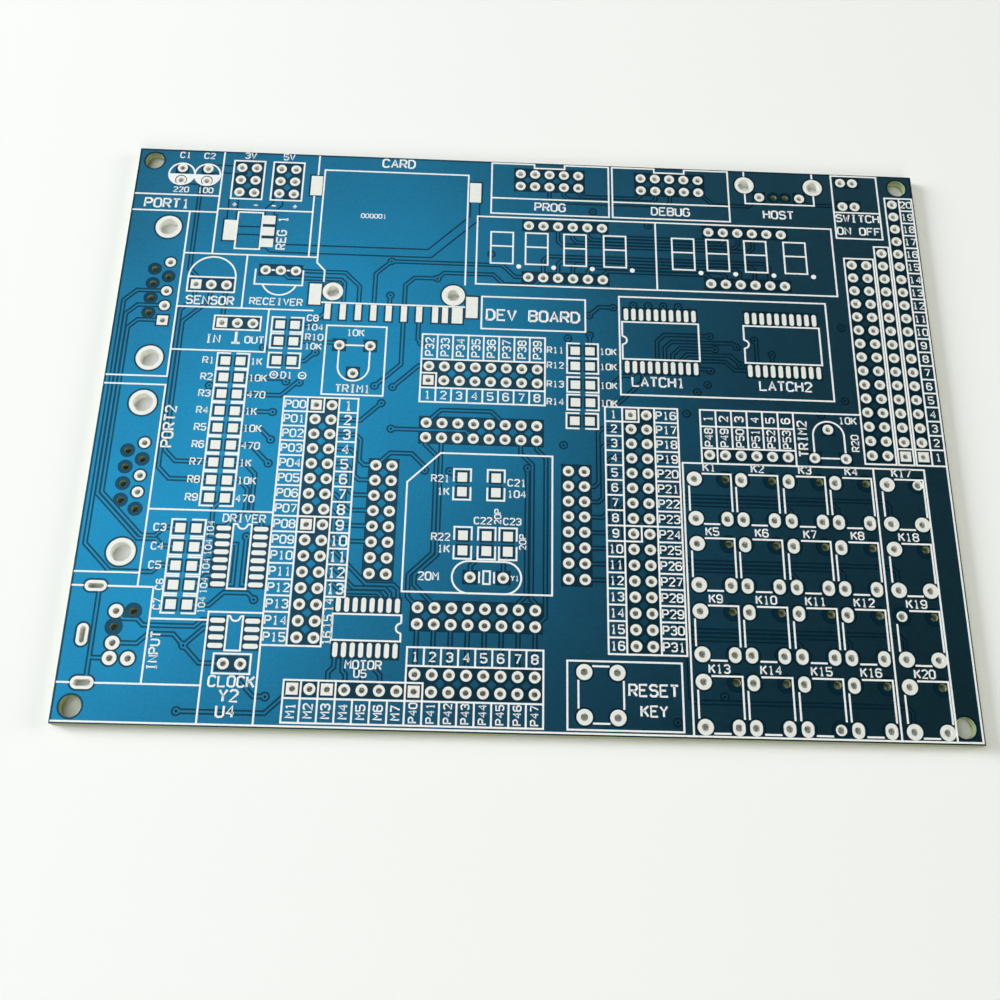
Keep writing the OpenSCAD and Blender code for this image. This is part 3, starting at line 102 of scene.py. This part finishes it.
# copper foil under glossy blue solder mask: a metal seen through clear blue lacquer
mask = {
    "copperBlue": "#0d7fa8",   # copper seen through the blue mask
    "copperDeep": "#0b7196",   # the same where the mask is thicker
    "coreBlue": "#0c4358",     # bare glass epoxy under the mask, with the lower copper dimly behind it
    "coreDeep": "#0a3a4d",
    "grain": 0.35,             # mm, etched grain of the copper, drawn coarser than it is so that it shows
    "pooling": 14,             # mm, slow change of the mask's thickness
    "poolingShare": 0.5,       # weight of the pooling beside the grain
    "toneSpan": (0.55, 0.95),  # part of that sum over which the deep blue turns light
    "peel": 1.1,               # mm, ripple of the cured mask
    "peelDepth": 0.02,         # mm
    "peelStrength": 0.08,
    "roughness": (0.3, 0.38),
    "coat": 0.6,
    "coatRoughness": 0.55,
    "coatIor": 1.5,
}
maskOnCopper, tree = newMaterial("solderMaskOverCopper")
coords = addNode(tree, "ShaderNodeTexCoord")
pooled = addNode(tree, "ShaderNodeTexNoise", {"Scale": 1 / (mask["pooling"] * mm), "Detail": 2.0},
                 {"Vector": coords.outputs["Object"]})
grain = addNode(tree, "ShaderNodeTexNoise",
                {"Scale": 1 / (mask["grain"] * mm), "Detail": 3.0, "Roughness": 0.7},
                {"Vector": coords.outputs["Object"]})
mixed = addNode(tree, "ShaderNodeMath", {"operation": "MULTIPLY_ADD", 1: mask["poolingShare"]},
                {0: pooled.outputs["Fac"], 2: grain.outputs["Fac"]})
tone = addNode(tree, "ShaderNodeMapRange",
               {"From Min": mask["toneSpan"][0], "From Max": mask["toneSpan"][1]},
               {"Value": mixed.outputs[0]})
color = addNode(tree, "ShaderNodeMix",
                {"data_type": "RGBA", mixFrom: hexColor(mask["copperDeep"]),
                 mixTo: hexColor(mask["copperBlue"])},
                {mixFactor: tone.outputs[0]})
rough = addNode(tree, "ShaderNodeMapRange",
                {"From Min": 0.3, "From Max": 0.7, "To Min": mask["roughness"][0],
                 "To Max": mask["roughness"][1]},
                {"Value": grain.outputs["Fac"]})
peel = addNode(tree, "ShaderNodeTexNoise", {"Scale": 1 / (mask["peel"] * mm), "Detail": 2.0},
               {"Vector": coords.outputs["Object"]})
bump = addNode(tree, "ShaderNodeBump",
               {"Strength": mask["peelStrength"], "Distance": mask["peelDepth"] * mm},
               {"Height": peel.outputs["Fac"]})
shader = addNode(tree, "ShaderNodeBsdfPrincipled",
                 {"Metallic": 1.0, "Coat Weight": mask["coat"], "Coat Roughness": mask["coatRoughness"],
                  "Coat IOR": mask["coatIor"]},
                 {"Base Color": color.outputs[mixResult], "Roughness": rough.outputs[0],
                  "Normal": bump.outputs[0]})
addNode(tree, "ShaderNodeOutputMaterial", links={"Surface": shader.outputs[0]})

# glass epoxy core: dark blue under the mask on its faces, yellow-green plies on its cut walls
epoxy = {
    "resin": "#b4bc90",
    "fibre": "#8f976c",
    "ply": 0.19,               # mm, one glass cloth layer, drawn about 6 times as coarse so that it shows
    "waveTurn": 20,            # radians that the wave texture turns through in one unit
    "plyDepth": 0.02,          # mm
    "plyStrength": 0.2,
    "wallRoughness": 0.75,
    "faceRoughness": 0.34,
    "faceMetallic": 0.7,       # the lower copper shines through the core
    "ior": 1.5,
}
maskOnCore, tree = newMaterial("glassEpoxyUnderMask")
coords = addNode(tree, "ShaderNodeTexCoord")
facing = addNode(tree, "ShaderNodeSeparateXYZ", links={0: coords.outputs["Normal"]})
upright = addNode(tree, "ShaderNodeMath", {"operation": "ABSOLUTE"}, {0: facing.outputs["Z"]})
isFace = addNode(tree, "ShaderNodeMath", {"operation": "GREATER_THAN", 1: 0.5}, {0: upright.outputs[0]})
pooled = addNode(tree, "ShaderNodeTexNoise", {"Scale": 1 / (mask["pooling"] * mm), "Detail": 2.0},
                 {"Vector": coords.outputs["Object"]})
faceColor = addNode(tree, "ShaderNodeMix",
                    {"data_type": "RGBA", mixFrom: hexColor(mask["coreDeep"]),
                     mixTo: hexColor(mask["coreBlue"])},
                    {mixFactor: pooled.outputs["Fac"]})
plies = addNode(tree, "ShaderNodeTexWave",
                {"bands_direction": "Z", "Scale": 1 / (epoxy["ply"] * mm) / epoxy["waveTurn"],
                 "Distortion": 2.0, "Detail": 2.0},
                {"Vector": coords.outputs["Object"]})
wallColor = addNode(tree, "ShaderNodeMix",
                    {"data_type": "RGBA", mixFrom: hexColor(epoxy["fibre"]),
                     mixTo: hexColor(epoxy["resin"])},
                    {mixFactor: plies.outputs["Fac"]})
color = addNode(tree, "ShaderNodeMix", {"data_type": "RGBA"},
                {mixFactor: isFace.outputs[0], mixFrom: wallColor.outputs[mixResult],
                 mixTo: faceColor.outputs[mixResult]})
rough = addNode(tree, "ShaderNodeMapRange",
                {"To Min": epoxy["wallRoughness"], "To Max": epoxy["faceRoughness"]},
                {"Value": isFace.outputs[0]})
bump = addNode(tree, "ShaderNodeBump",
               {"Strength": epoxy["plyStrength"], "Distance": epoxy["plyDepth"] * mm},
               {"Height": plies.outputs["Fac"]})
shine = addNode(tree, "ShaderNodeMapRange", {"To Min": 0.0, "To Max": epoxy["faceMetallic"]},
                {"Value": isFace.outputs[0]})
shader = addNode(tree, "ShaderNodeBsdfPrincipled", {"IOR": epoxy["ior"]},
                 {"Base Color": color.outputs[mixResult], "Metallic": shine.outputs[0],
                  "Roughness": rough.outputs[0], "Normal": bump.outputs[0]})
addNode(tree, "ShaderNodeOutputMaterial", links={"Surface": shader.outputs[0]})

# hot-air levelled tin on the lands: pale soft-edged shine on an uneven surface
tin = {
    "bright": "#fafaf4",
    "dull": "#e8e9e2",
    "ripple": 0.6,             # mm, uneven tin left by the levelling
    "rippleDepth": 0.05,       # mm
    "rippleStrength": 0.5,
    "roughness": (0.38, 0.55),
    "metallic": 0.1,           # low, so that the lands stay as white as the lit table
}
tinnedCopper, tree = newMaterial("levelledTin")
coords = addNode(tree, "ShaderNodeTexCoord")
ripple = addNode(tree, "ShaderNodeTexNoise", {"Scale": 1 / (tin["ripple"] * mm), "Detail": 3.0},
                 {"Vector": coords.outputs["Object"]})
color = addNode(tree, "ShaderNodeMix",
                {"data_type": "RGBA", mixFrom: hexColor(tin["dull"]), mixTo: hexColor(tin["bright"])},
                {mixFactor: ripple.outputs["Fac"]})
rough = addNode(tree, "ShaderNodeMapRange",
                {"From Min": 0.3, "From Max": 0.7, "To Min": tin["roughness"][0],
                 "To Max": tin["roughness"][1]},
                {"Value": ripple.outputs["Fac"]})
bump = addNode(tree, "ShaderNodeBump",
               {"Strength": tin["rippleStrength"], "Distance": tin["rippleDepth"] * mm},
               {"Height": ripple.outputs["Fac"]})
shader = addNode(tree, "ShaderNodeBsdfPrincipled", {"Metallic": tin["metallic"]},
                 {"Base Color": color.outputs[mixResult], "Roughness": rough.outputs[0],
                  "Normal": bump.outputs[0]})
addNode(tree, "ShaderNodeOutputMaterial", links={"Surface": shader.outputs[0]})

# screen-printed epoxy ink: dense white, slightly satin, a little thinner in places
ink = {
    "white": "#f7f8f6",
    "thin": "#e3e9ea",
    "mesh": 0.4,               # mm, weave of the printing screen, drawn coarser than it is
    "meshDepth": 0.01,         # mm
    "meshStrength": 0.15,
    "thinSpan": (0.25, 0.5),   # part of the weave's noise over which thin ink turns dense
    "roughness": 0.5,
    "ior": 1.5,
}
legendInk, tree = newMaterial("whiteEpoxyInk")
coords = addNode(tree, "ShaderNodeTexCoord")
screen = addNode(tree, "ShaderNodeTexNoise", {"Scale": 1 / (ink["mesh"] * mm), "Detail": 2.0},
                 {"Vector": coords.outputs["Object"]})
tone = addNode(tree, "ShaderNodeMapRange",
               {"From Min": ink["thinSpan"][0], "From Max": ink["thinSpan"][1]},
               {"Value": screen.outputs["Fac"]})
color = addNode(tree, "ShaderNodeMix",
                {"data_type": "RGBA", mixFrom: hexColor(ink["thin"]), mixTo: hexColor(ink["white"])},
                {mixFactor: tone.outputs[0]})
bump = addNode(tree, "ShaderNodeBump",
               {"Strength": ink["meshStrength"], "Distance": ink["meshDepth"] * mm},
               {"Height": screen.outputs["Fac"]})
shader = addNode(tree, "ShaderNodeBsdfPrincipled", {"Roughness": ink["roughness"], "IOR": ink["ior"]},
                 {"Base Color": color.outputs[mixResult], "Normal": bump.outputs[0]})
addNode(tree, "ShaderNodeOutputMaterial", links={"Surface": shader.outputs[0]})

nodeFinish = {
    "laminate": maskOnCore,
    "foil_top": maskOnCopper,
    "foil_bottom": maskOnCopper,
    "vias": maskOnCopper,
    "legend": legendInk,
}
for name, piece in nodes.items():
    piece.data.materials.clear()
    piece.data.materials.append(nodeFinish.get(name, tinnedCopper))  # all the other nodes are lands
print("finishes on", len(nodes), "board pieces")


# lettering: white strokes on a grid of 4 by 6, printed with the legend
# _ is a ground mark, p and m are a plus and a minus in a ring
oval = [(1, 0), (3, 0), (4, 1), (4, 5), (3, 6), (1, 6), (0, 5), (0, 1), (1, 0)]
stemAndBowl = [(0, 0), (0, 6), (3, 6), (4, 5), (4, 3.8), (3, 2.8), (0, 2.8)]
bar = [(0.4, 3), (3.6, 3)]
post = [(2, 1.4), (2, 4.6)]
ring = [(2, -0.4), (4.4, 0.6), (5.4, 3), (4.4, 5.4), (2, 6.4), (-0.4, 5.4), (-1.4, 3), (-0.4, 0.6),
        (2, -0.4)]
glyphs = {
    "0": [oval],
    "1": [[(1, 5), (2, 6), (2, 0)], [(1, 0), (3, 0)]],
    "2": [[(0, 5), (1, 6), (3, 6), (4, 5), (4, 4), (0, 0), (4, 0)]],
    "3": [[(0, 5), (1, 6), (3, 6), (4, 5), (4, 4), (3, 3.1), (1.6, 3.1)],
          [(3, 3.1), (4, 2.2), (4, 1), (3, 0), (1, 0), (0, 1)]],
    "4": [[(3, 0), (3, 6), (0, 2), (4, 2)]],
    "5": [[(4, 6), (0, 6), (0, 3.4), (3, 3.4), (4, 2.6), (4, 1), (3, 0), (1, 0), (0, 1)]],
    "6": [[(4, 5), (3, 6), (1, 6), (0, 5), (0, 1), (1, 0), (3, 0), (4, 1), (4, 2.5), (3, 3.4), (0, 3.4)]],
    "7": [[(0, 6), (4, 6), (1.4, 0)]],
    "8": [[(1, 3.2), (0, 4.2), (0, 5), (1, 6), (3, 6), (4, 5), (4, 4.2), (3, 3.2), (1, 3.2)],
          [(1, 3.2), (0, 2.2), (0, 1), (1, 0), (3, 0), (4, 1), (4, 2.2), (3, 3.2)]],
    "9": [[(0, 1), (1, 0), (3, 0), (4, 1), (4, 5), (3, 6), (1, 6), (0, 5), (0, 3.6), (1, 2.6), (4, 2.6)]],
    "A": [[(0, 0), (2, 6), (4, 0)], [(0.7, 2), (3.3, 2)]],
    "B": [[(0, 0), (0, 6), (3, 6), (4, 5), (4, 4.1), (3, 3.2), (0, 3.2)],
          [(3, 3.2), (4, 2.3), (4, 1), (3, 0), (0, 0)]],
    "C": [[(4, 5), (3, 6), (1, 6), (0, 5), (0, 1), (1, 0), (3, 0), (4, 1)]],
    "D": [[(0, 0), (0, 6), (2.6, 6), (4, 4.6), (4, 1.4), (2.6, 0), (0, 0)]],
    "E": [[(4, 6), (0, 6), (0, 0), (4, 0)], [(0, 3.2), (3, 3.2)]],
    "F": [[(4, 6), (0, 6), (0, 0)], [(0, 3.2), (3, 3.2)]],
    "G": [[(4, 5), (3, 6), (1, 6), (0, 5), (0, 1), (1, 0), (3, 0), (4, 1), (4, 3), (2.4, 3)]],
    "H": [[(0, 0), (0, 6)], [(4, 0), (4, 6)], [(0, 3.2), (4, 3.2)]],
    "I": [[(1, 6), (3, 6)], [(2, 6), (2, 0)], [(1, 0), (3, 0)]],
    "K": [[(0, 0), (0, 6)], [(4, 6), (0, 2.4)], [(1.4, 3.7), (4, 0)]],
    "L": [[(0, 6), (0, 0), (4, 0)]],
    "M": [[(0, 0), (0, 6), (2, 3), (4, 6), (4, 0)]],
    "N": [[(0, 0), (0, 6), (4, 0), (4, 6)]],
    "O": [oval],
    "P": [stemAndBowl],
    "R": [stemAndBowl, [(2, 2.8), (4, 0)]],
    "S": [[(4, 5), (3, 6), (1, 6), (0, 5), (0, 4.2), (1, 3.2), (3, 3.2), (4, 2.2), (4, 1), (3, 0), (1, 0),
           (0, 1)]],
    "T": [[(0, 6), (4, 6)], [(2, 6), (2, 0)]],
    "U": [[(0, 6), (0, 1), (1, 0), (3, 0), (4, 1), (4, 6)]],
    "V": [[(0, 6), (2, 0), (4, 6)]],
    "W": [[(0, 6), (1, 0), (2, 4), (3, 0), (4, 6)]],
    "Y": [[(0, 6), (2, 3), (4, 6)], [(2, 3), (2, 0)]],
    "+": [bar, post],
    "-": [bar],
    "_": [[(2, 6), (2, 0)], [(0, 0), (4, 0)]],
    "p": [ring, bar, post],
    "m": [ring, bar],
    " ": [],
}
lettering = {
    "land": 1.75 * mm,         # land of a header pin: a header's box starts half of it before its first pin
    "stroke": 0.22,            # share of the letter's height that a stroke is wide
    "wide": 4,                 # the letter grid
    "tall": 6,
    "advance": 5.6,            # from one letter to the next, on that grid
    "thick": 0.03 * mm,        # the same as the legend's lines
}
# places on the board are in header pitches from the first pin of the left port header
low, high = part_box("port_eb_pads")
gridStart = Vector((low.x + lettering["land"] / 2, high.y - lettering["land"] / 2, 0))
gridPitch = high.x - low.x - lettering["land"]  # that header has two columns
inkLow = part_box("legend")[0].z
centred, rightAligned, leftAligned = 0, 1, -1


def gridPlace(x, y):
    return gridStart + gridPitch * Vector((x, y, 0))


def firstPin(node):
    low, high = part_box(node)
    x = (low.x + lettering["land"] / 2 - gridStart.x) / gridPitch
    y = (high.y - lettering["land"] / 2 - gridStart.y) / gridPitch
    return x, y


def addText(curve, text, x, y, height, turn=0, side=centred):
    unit = height * mm / lettering["tall"]
    width = ((len(text) - 1) * lettering["advance"] + lettering["wide"]) * unit
    start = Vector((-width / 2 * (1 + side), -lettering["tall"] / 2 * unit, 0))
    turned = Matrix.Translation(gridPlace(x, y)) @ Matrix.Rotation(math.radians(turn), 4, "Z")
    for place, letter in enumerate(text):
        for stroke in glyphs[letter]:
            spline = curve.splines.new("POLY")
            spline.points.add(len(stroke) - 1)
            for point, (gx, gy) in zip(spline.points, stroke):
                at = start + unit * Vector((gx + place * lettering["advance"], gy, 0))
                point.co = (turned @ at).to_4d()
                point.radius = height * lettering["stroke"] / 2


def printText(name, texts):
    curve = bpy.data.curves.new(name, "CURVE")
    curve.dimensions = "3D"
    curve.bevel_depth = mm  # so a point's radius is in mm
    curve.bevel_resolution = 1
    curve.use_fill_caps = True
    for text in texts:
        addText(curve, *text)
    holder = bpy.data.objects.new(name, curve)
    scene.collection.objects.link(holder)
    bpy.context.view_layer.update()
    mesh = bpy.data.meshes.new_from_object(holder.evaluated_get(bpy.context.evaluated_depsgraph_get()))
    bpy.data.objects.remove(holder)
    for vertex in mesh.vertices:  # the round strokes are pressed flat
        vertex.co.z = inkLow + (lettering["thick"] if vertex.co.z > 0 else 0)
    mesh.materials.clear()
    mesh.materials.append(legendInk)
    piece = bpy.data.objects.new(name, mesh)
    scene.collection.objects.link(piece)
    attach(piece, "root")
    print(name, len(texts), "texts")


# port tables: port numbers on the outer side, pin numbers on the inner side
# header, word, numbers, start from its first pin, step, height in mm, turn
down, right = (0, -1), (1, 0)
portRows = [
    ("port_eb_pads", "P%02d", range(0, 16), (-1.3, 0), down, 1.25, 0),
    ("port_eb_pads", "%d", range(1, 14), (2.05, 0), down, 1.5, 0),
    ("port_eb_pads", "%d", range(14, 17), (1.75, -13), down, 1.2, 90),
    ("port_ac_pads", "P%d", range(16, 32), (2.25, 0), down, 1.25, 0),
    ("port_ac_pads", "%d", range(1, 17), (-1.1, 0), down, 1.25, 0),
    ("port_f_pads", "P%d", range(32, 40), (0, 1.4), right, 1.25, 90),
    ("port_f_pads", "%d", range(1, 9), (0, -2.05), right, 1.3, 0),
    ("port_d_pads", "P%d", range(40, 48), (0, -2.22), right, 1.1, 90),
    ("port_d_pads", "%d", range(1, 9), (0, 1.05), right, 1.3, 0),
    ("motor_pads", "M%d", range(1, 8), (0, -1.25), right, 1.25, 90),
    ("port_g_pads", "P%d", range(48, 54), (0, 1.2), right, 1.2, 90),
    ("port_g_pads", "%d", range(1, 7), (0, 2.5), right, 1.3, 90),
    ("panel_right_pads", "%d", range(20, 0, -1), (0.95, 0), down, 1.2, 0),
]
portTexts = []
for node, word, numbers, start, step, height, turn in portRows:
    x, y = firstPin(node)
    for i, number in enumerate(numbers):
        at = (x + start[0] + i * step[0], y + start[1] + i * step[1])
        portTexts.append((word % number, *at, height, turn))
printText("portLettering", portTexts)

# keys, numbered in rows of four, then the right column
keys = {
    "columns": 5,
    "rows": 4,
    "rowStep": 4.25,
    "label": (1.1, 0.66),      # from a key's first pin to its number
    "height": 1.2,             # mm
}
rightColumn = keys["columns"] - 1
keyTexts = []
for column in range(keys["columns"]):
    x, y = firstPin("key_pads_%d" % (column + 1))
    for row in range(keys["rows"]):
        before = rightColumn * keys["rows"] + row if column == rightColumn else rightColumn * row + column
        at = (x + keys["label"][0], y + keys["label"][1] - keys["rowStep"] * row)
        keyTexts.append(("K%d" % (before + 1), *at, keys["height"]))
keyTexts += [("RESET", 20.95, -17.6, 1.65), ("KEY", 20.95, -18.8, 1.5)]
printText("keyLettering", keyTexts)

# names of the footprints: text, x, y, height in mm, turn
partTexts = [
    ("PORT1", -11.2, 14.65, 1.7), ("PORT2", -9.05, -1.8, 1.6, 90), ("INPUT", -8.15, -16, 1.3, 90),
    ("3V", -5.95, 18.74, 1.15), ("+  -", -5.95, 14.73, 1.3),
    ("5V", -3.3, 18.74, 1.15), ("-  +", -3.3, 14.73, 1.3),
    ("REG 1", -3.28, 12.6, 1.45, 90), ("SENSOR", -7.5, 7.26, 1.45), ("RECEIVER", -3.2, 7.32, 1.2),
    ("IN", -7, 4.45, 1.4), ("_", -5.52, 4.6, 2.1), ("OUT", -4.33, 4.45, 1.2),
    ("DRIVER", -3.75, -7.75, 1.2),
    ("CLOCK", -3.5, -17.68, 1.5), ("Y2", -3.58, -18.5, 1.65), ("U4", -3.68, -19.4, 1.6),
    ("CARD", 4.3, 18.54, 1.6), ("000001", 2.8, 14.2, 0.8),
    ("PROG", 14.8, 15.43, 1.5), ("DEBUG", 23.1, 15.43, 1.5), ("HOST", 30.6, 15.5, 1.5),
    ("SWITCH", 36.1, 15.43, 1.4), ("ON OFF", 36.1, 14.4, 1.4),
    ("DEV BOARD", 13.7, 6.9, 1.9),
    ("TRIM1", 2.22, 1.2, 1.25), ("10K", 2.15, 5.22, 1.1),
    ("LATCH1", 21.85, 2.36, 1.6), ("LATCH2", 30.15, 2.36, 1.6),
    ("TRIM2", 30.98, -1.3, 1.4, 90), ("10K", 33.98, 0.05, 1.1), ("R20", 34.33, -1.5, 1.1, 90),
    ("MOTOR", 4, -16.52, 1.2), ("U5", 3.85, -17.03, 1.1),
    ("20M", 7.55, -11.05, 1.2), ("Y1", 12.76, -11.05, 0.75),
]

# reference numbers and values beside the rows of small parts
resistors = {"rows": 9, "back": 2.9, "step": 1.17, "names": -6.75, "values": -4.4, "height": 1.1}
for row in range(resistors["rows"]):
    y = resistors["back"] - resistors["step"] * row
    value = ("1K", "10K", "470")[row % 3]
    partTexts.append(("R%d" % (row + 1), resistors["names"], y, resistors["height"], 0, rightAligned))
    partTexts.append((value, resistors["values"], y, resistors["height"], 0, leftAligned))
decoupling = {
    "first": 3,                # number of the first capacitor
    "rows": 5,
    "upright": 3,              # rows whose names aren't turned
    "back": -8.45,
    "step": 1.19,
    "names": -9.1,
    "turnedNames": -8.33,
    "values": -5.72,
}
for row in range(decoupling["rows"]):
    y = decoupling["back"] - decoupling["step"] * row
    name = "C%d" % (row + decoupling["first"])
    if row < decoupling["upright"]:
        partTexts.append((name, decoupling["names"], y, 1.1, 0, leftAligned))
    else:
        partTexts.append((name, decoupling["turnedNames"], y, 1, 90))
    partTexts.append(("104", decoupling["values"], y, 0.95, 90))
pullUps = {"first": 11, "rows": (4.45, 3.35, 2, 0.75), "names": 15.7, "values": 18.1, "height": 1.05}
for row, y in enumerate(pullUps["rows"]):
    name = "R%d" % (row + pullUps["first"])
    partTexts.append((name, pullUps["names"], y, pullUps["height"], 0, rightAligned))
    partTexts.append(("10K", pullUps["values"], y, pullUps["height"], 0, leftAligned))

# the same beside single parts: text, x, y, height in mm, turn, alignment
partTexts += [
    ("C1", -10.4, 18.6, 1.1), ("C2", -8.75, 18.6, 1.1), ("220", -10.4, 15.78, 1), ("100", -8.75, 15.78, 1),
    ("C8", -1.05, 6.2, 1.1, 0, leftAligned), ("104", -1.05, 5.53, 1.05, 0, leftAligned),
    ("R10", -1.05, 4.8, 1.1, 0, leftAligned), ("10K", -1.05, 4.13, 1.05, 0, leftAligned),
    ("p", -2.86, 2, 1.1), ("D1", -2.05, 2, 1.1), ("m", -1.05, 2, 1.1),
    ("R21", 8.6, -4.75, 1.1, 0, rightAligned), ("1K", 8.6, -5.6, 1.1, 0, rightAligned),
    ("C21", 12.25, -4.9, 1.1, 0, leftAligned), ("104", 12.25, -5.65, 1.1, 0, leftAligned),
    ("R22", 8.75, -8.55, 1.1, 0, rightAligned), ("1K", 8.75, -9.3, 1.1, 0, rightAligned),
    ("C22", 10.75, -7.45, 1.05), ("C23", 12.55, -7.45, 1.05),
    ("20P", 11.65, -7.15, 0.95, 90), ("20P", 13.2, -8.75, 0.95, 90),
]
printText("partLettering", partTexts)


# table, light and surroundings
def seenRays(tree):  # 1 for what the camera sees, itself or mirrored, and 0 for the light on the board
    path = addNode(tree, "ShaderNodeLightPath")
    mirrored = addNode(tree, "ShaderNodeMath", {"operation": "ADD", "use_clamp": True},
                       {0: path.outputs["Is Glossy Ray"], 1: path.outputs["Is Transmission Ray"]})
    return addNode(tree, "ShaderNodeMath", {"operation": "ADD", "use_clamp": True},
                   {0: path.outputs["Is Camera Ray"], 1: mirrored.outputs[0]})


# sheet of white paper: matt, and pale out to where it meets the walls
table = {
    "color": "#fbfbf9",
    "roughness": 0.9,
    "size": 3.0,               # metres along each side
    "gap": 0.02 * mm,          # below the board
    "fade": (0.4, 1.2),        # metres from the board over which the table passes into the pale walls
}
floorMesh = bpy.data.meshes.new("table")
shape = bmesh.new()
bmesh.ops.create_grid(shape, x_segments=1, y_segments=1, size=table["size"] / 2)
bmesh.ops.translate(shape, verts=shape.verts, vec=(0, 0, -table["gap"]))
shape.to_mesh(floorMesh)
shape.free()
floor = bpy.data.objects.new("table", floorMesh)
scene.collection.objects.link(floor)
paper, tree = newMaterial("whitePaper")
coords = addNode(tree, "ShaderNodeTexCoord")
away = addNode(tree, "ShaderNodeVectorMath", {"operation": "LENGTH"}, {0: coords.outputs["Object"]})
fade = addNode(tree, "ShaderNodeMapRange",
               {"interpolation_type": "SMOOTHSTEP", "From Min": table["fade"][0],
                "From Max": table["fade"][1]},
               {"Value": away.outputs["Value"]})
pale = addNode(tree, "ShaderNodeMath", {"operation": "MULTIPLY"},
               {0: fade.outputs[0], 1: seenRays(tree).outputs[0]})
near = addNode(tree, "ShaderNodeBsdfPrincipled",
               {"Base Color": hexColor(table["color"]), "Roughness": table["roughness"]})
far = addNode(tree, "ShaderNodeEmission", {"Color": hexColor(table["color"])})
shader = addNode(tree, "ShaderNodeMixShader",
                 links={0: pale.outputs[0], 1: near.outputs[0], 2: far.outputs[0]})
addNode(tree, "ShaderNodeOutputMaterial", links={"Surface": shader.outputs[0]})
floorMesh.materials.append(paper)

# a long bright window on the left that the copper mirrors, and low lamps around the table that it does not
lamps = [
    {"name": "windowLight", "place": (-0.515, 0.205, 1.03), "size": (1.6, 0.44), "turn": -24,
     "power": 5.3, "color": "#f4faff", "mirrored": True},
    {"name": "leftLight", "place": (-1.25, 0.3, 0.5), "size": (0.6, 0.6), "turn": 0,
     "power": 22, "color": "#f8fbff", "mirrored": False},
    {"name": "rightLight", "place": (1.25, 0.15, 0.4), "size": (0.6, 0.6), "turn": 0,
     "power": 8.5, "color": "#f7f8e6", "mirrored": False},
    {"name": "frontLight", "place": (0.1, -1.2, 0.7), "size": (0.7, 0.7), "turn": 0,
     "power": 7, "color": "#f9faf2", "mirrored": False},
]
for lamp in lamps:
    lampData = bpy.data.lights.new(lamp["name"], "AREA")
    lampData.shape = "RECTANGLE"
    lampData.size, lampData.size_y = lamp["size"]
    lampData.energy = lamp["power"]
    lampData.color = hexColor(lamp["color"])[:3]
    lampObject = bpy.data.objects.new(lamp["name"], lampData)
    scene.collection.objects.link(lampObject)
    lampObject.location = lamp["place"]
    lampObject.visible_glossy = lamp["mirrored"]
    aim = (-Vector(lamp["place"])).to_track_quat("-Z", "Y")
    lampObject.rotation_euler = (aim @ Quaternion((0, 0, 1), math.radians(lamp["turn"]))).to_euler()

# a dim warm room, with pale walls that are seen and mirrored but give no light
room = {
    "ceiling": "#ffeeb8",
    "ceilingStrength": 0.035,
    "walls": "#fbfbf9",
    "wallTop": (0.4, 0.62),    # height on the sky, as a sine, over which the walls fade into the ceiling
}
world = bpy.data.worlds.new("room")
scene.world = world
world.use_nodes = True
tree = world.node_tree
tree.nodes.clear()
coords = addNode(tree, "ShaderNodeTexCoord")
heading = addNode(tree, "ShaderNodeSeparateXYZ", links={0: coords.outputs["Generated"]})
wall = addNode(tree, "ShaderNodeMapRange",
               {"From Min": room["wallTop"][1], "From Max": room["wallTop"][0]},
               {"Value": heading.outputs["Z"]})
pale = addNode(tree, "ShaderNodeMath", {"operation": "MULTIPLY"},
               {0: wall.outputs[0], 1: seenRays(tree).outputs[0]})
color = addNode(tree, "ShaderNodeMix",
                {"data_type": "RGBA", mixFrom: hexColor(room["ceiling"]), mixTo: hexColor(room["walls"])},
                {mixFactor: pale.outputs[0]})
strength = addNode(tree, "ShaderNodeMapRange", {"To Min": room["ceilingStrength"], "To Max": 1.0},
                   {"Value": pale.outputs[0]})
sky = addNode(tree, "ShaderNodeBackground",
              links={"Color": color.outputs[mixResult], "Strength": strength.outputs[0]})
addNode(tree, "ShaderNodeOutputWorld", links={"Surface": sky.outputs[0]})
scene.view_settings.view_transform = "Standard"
print("table and lamps set")
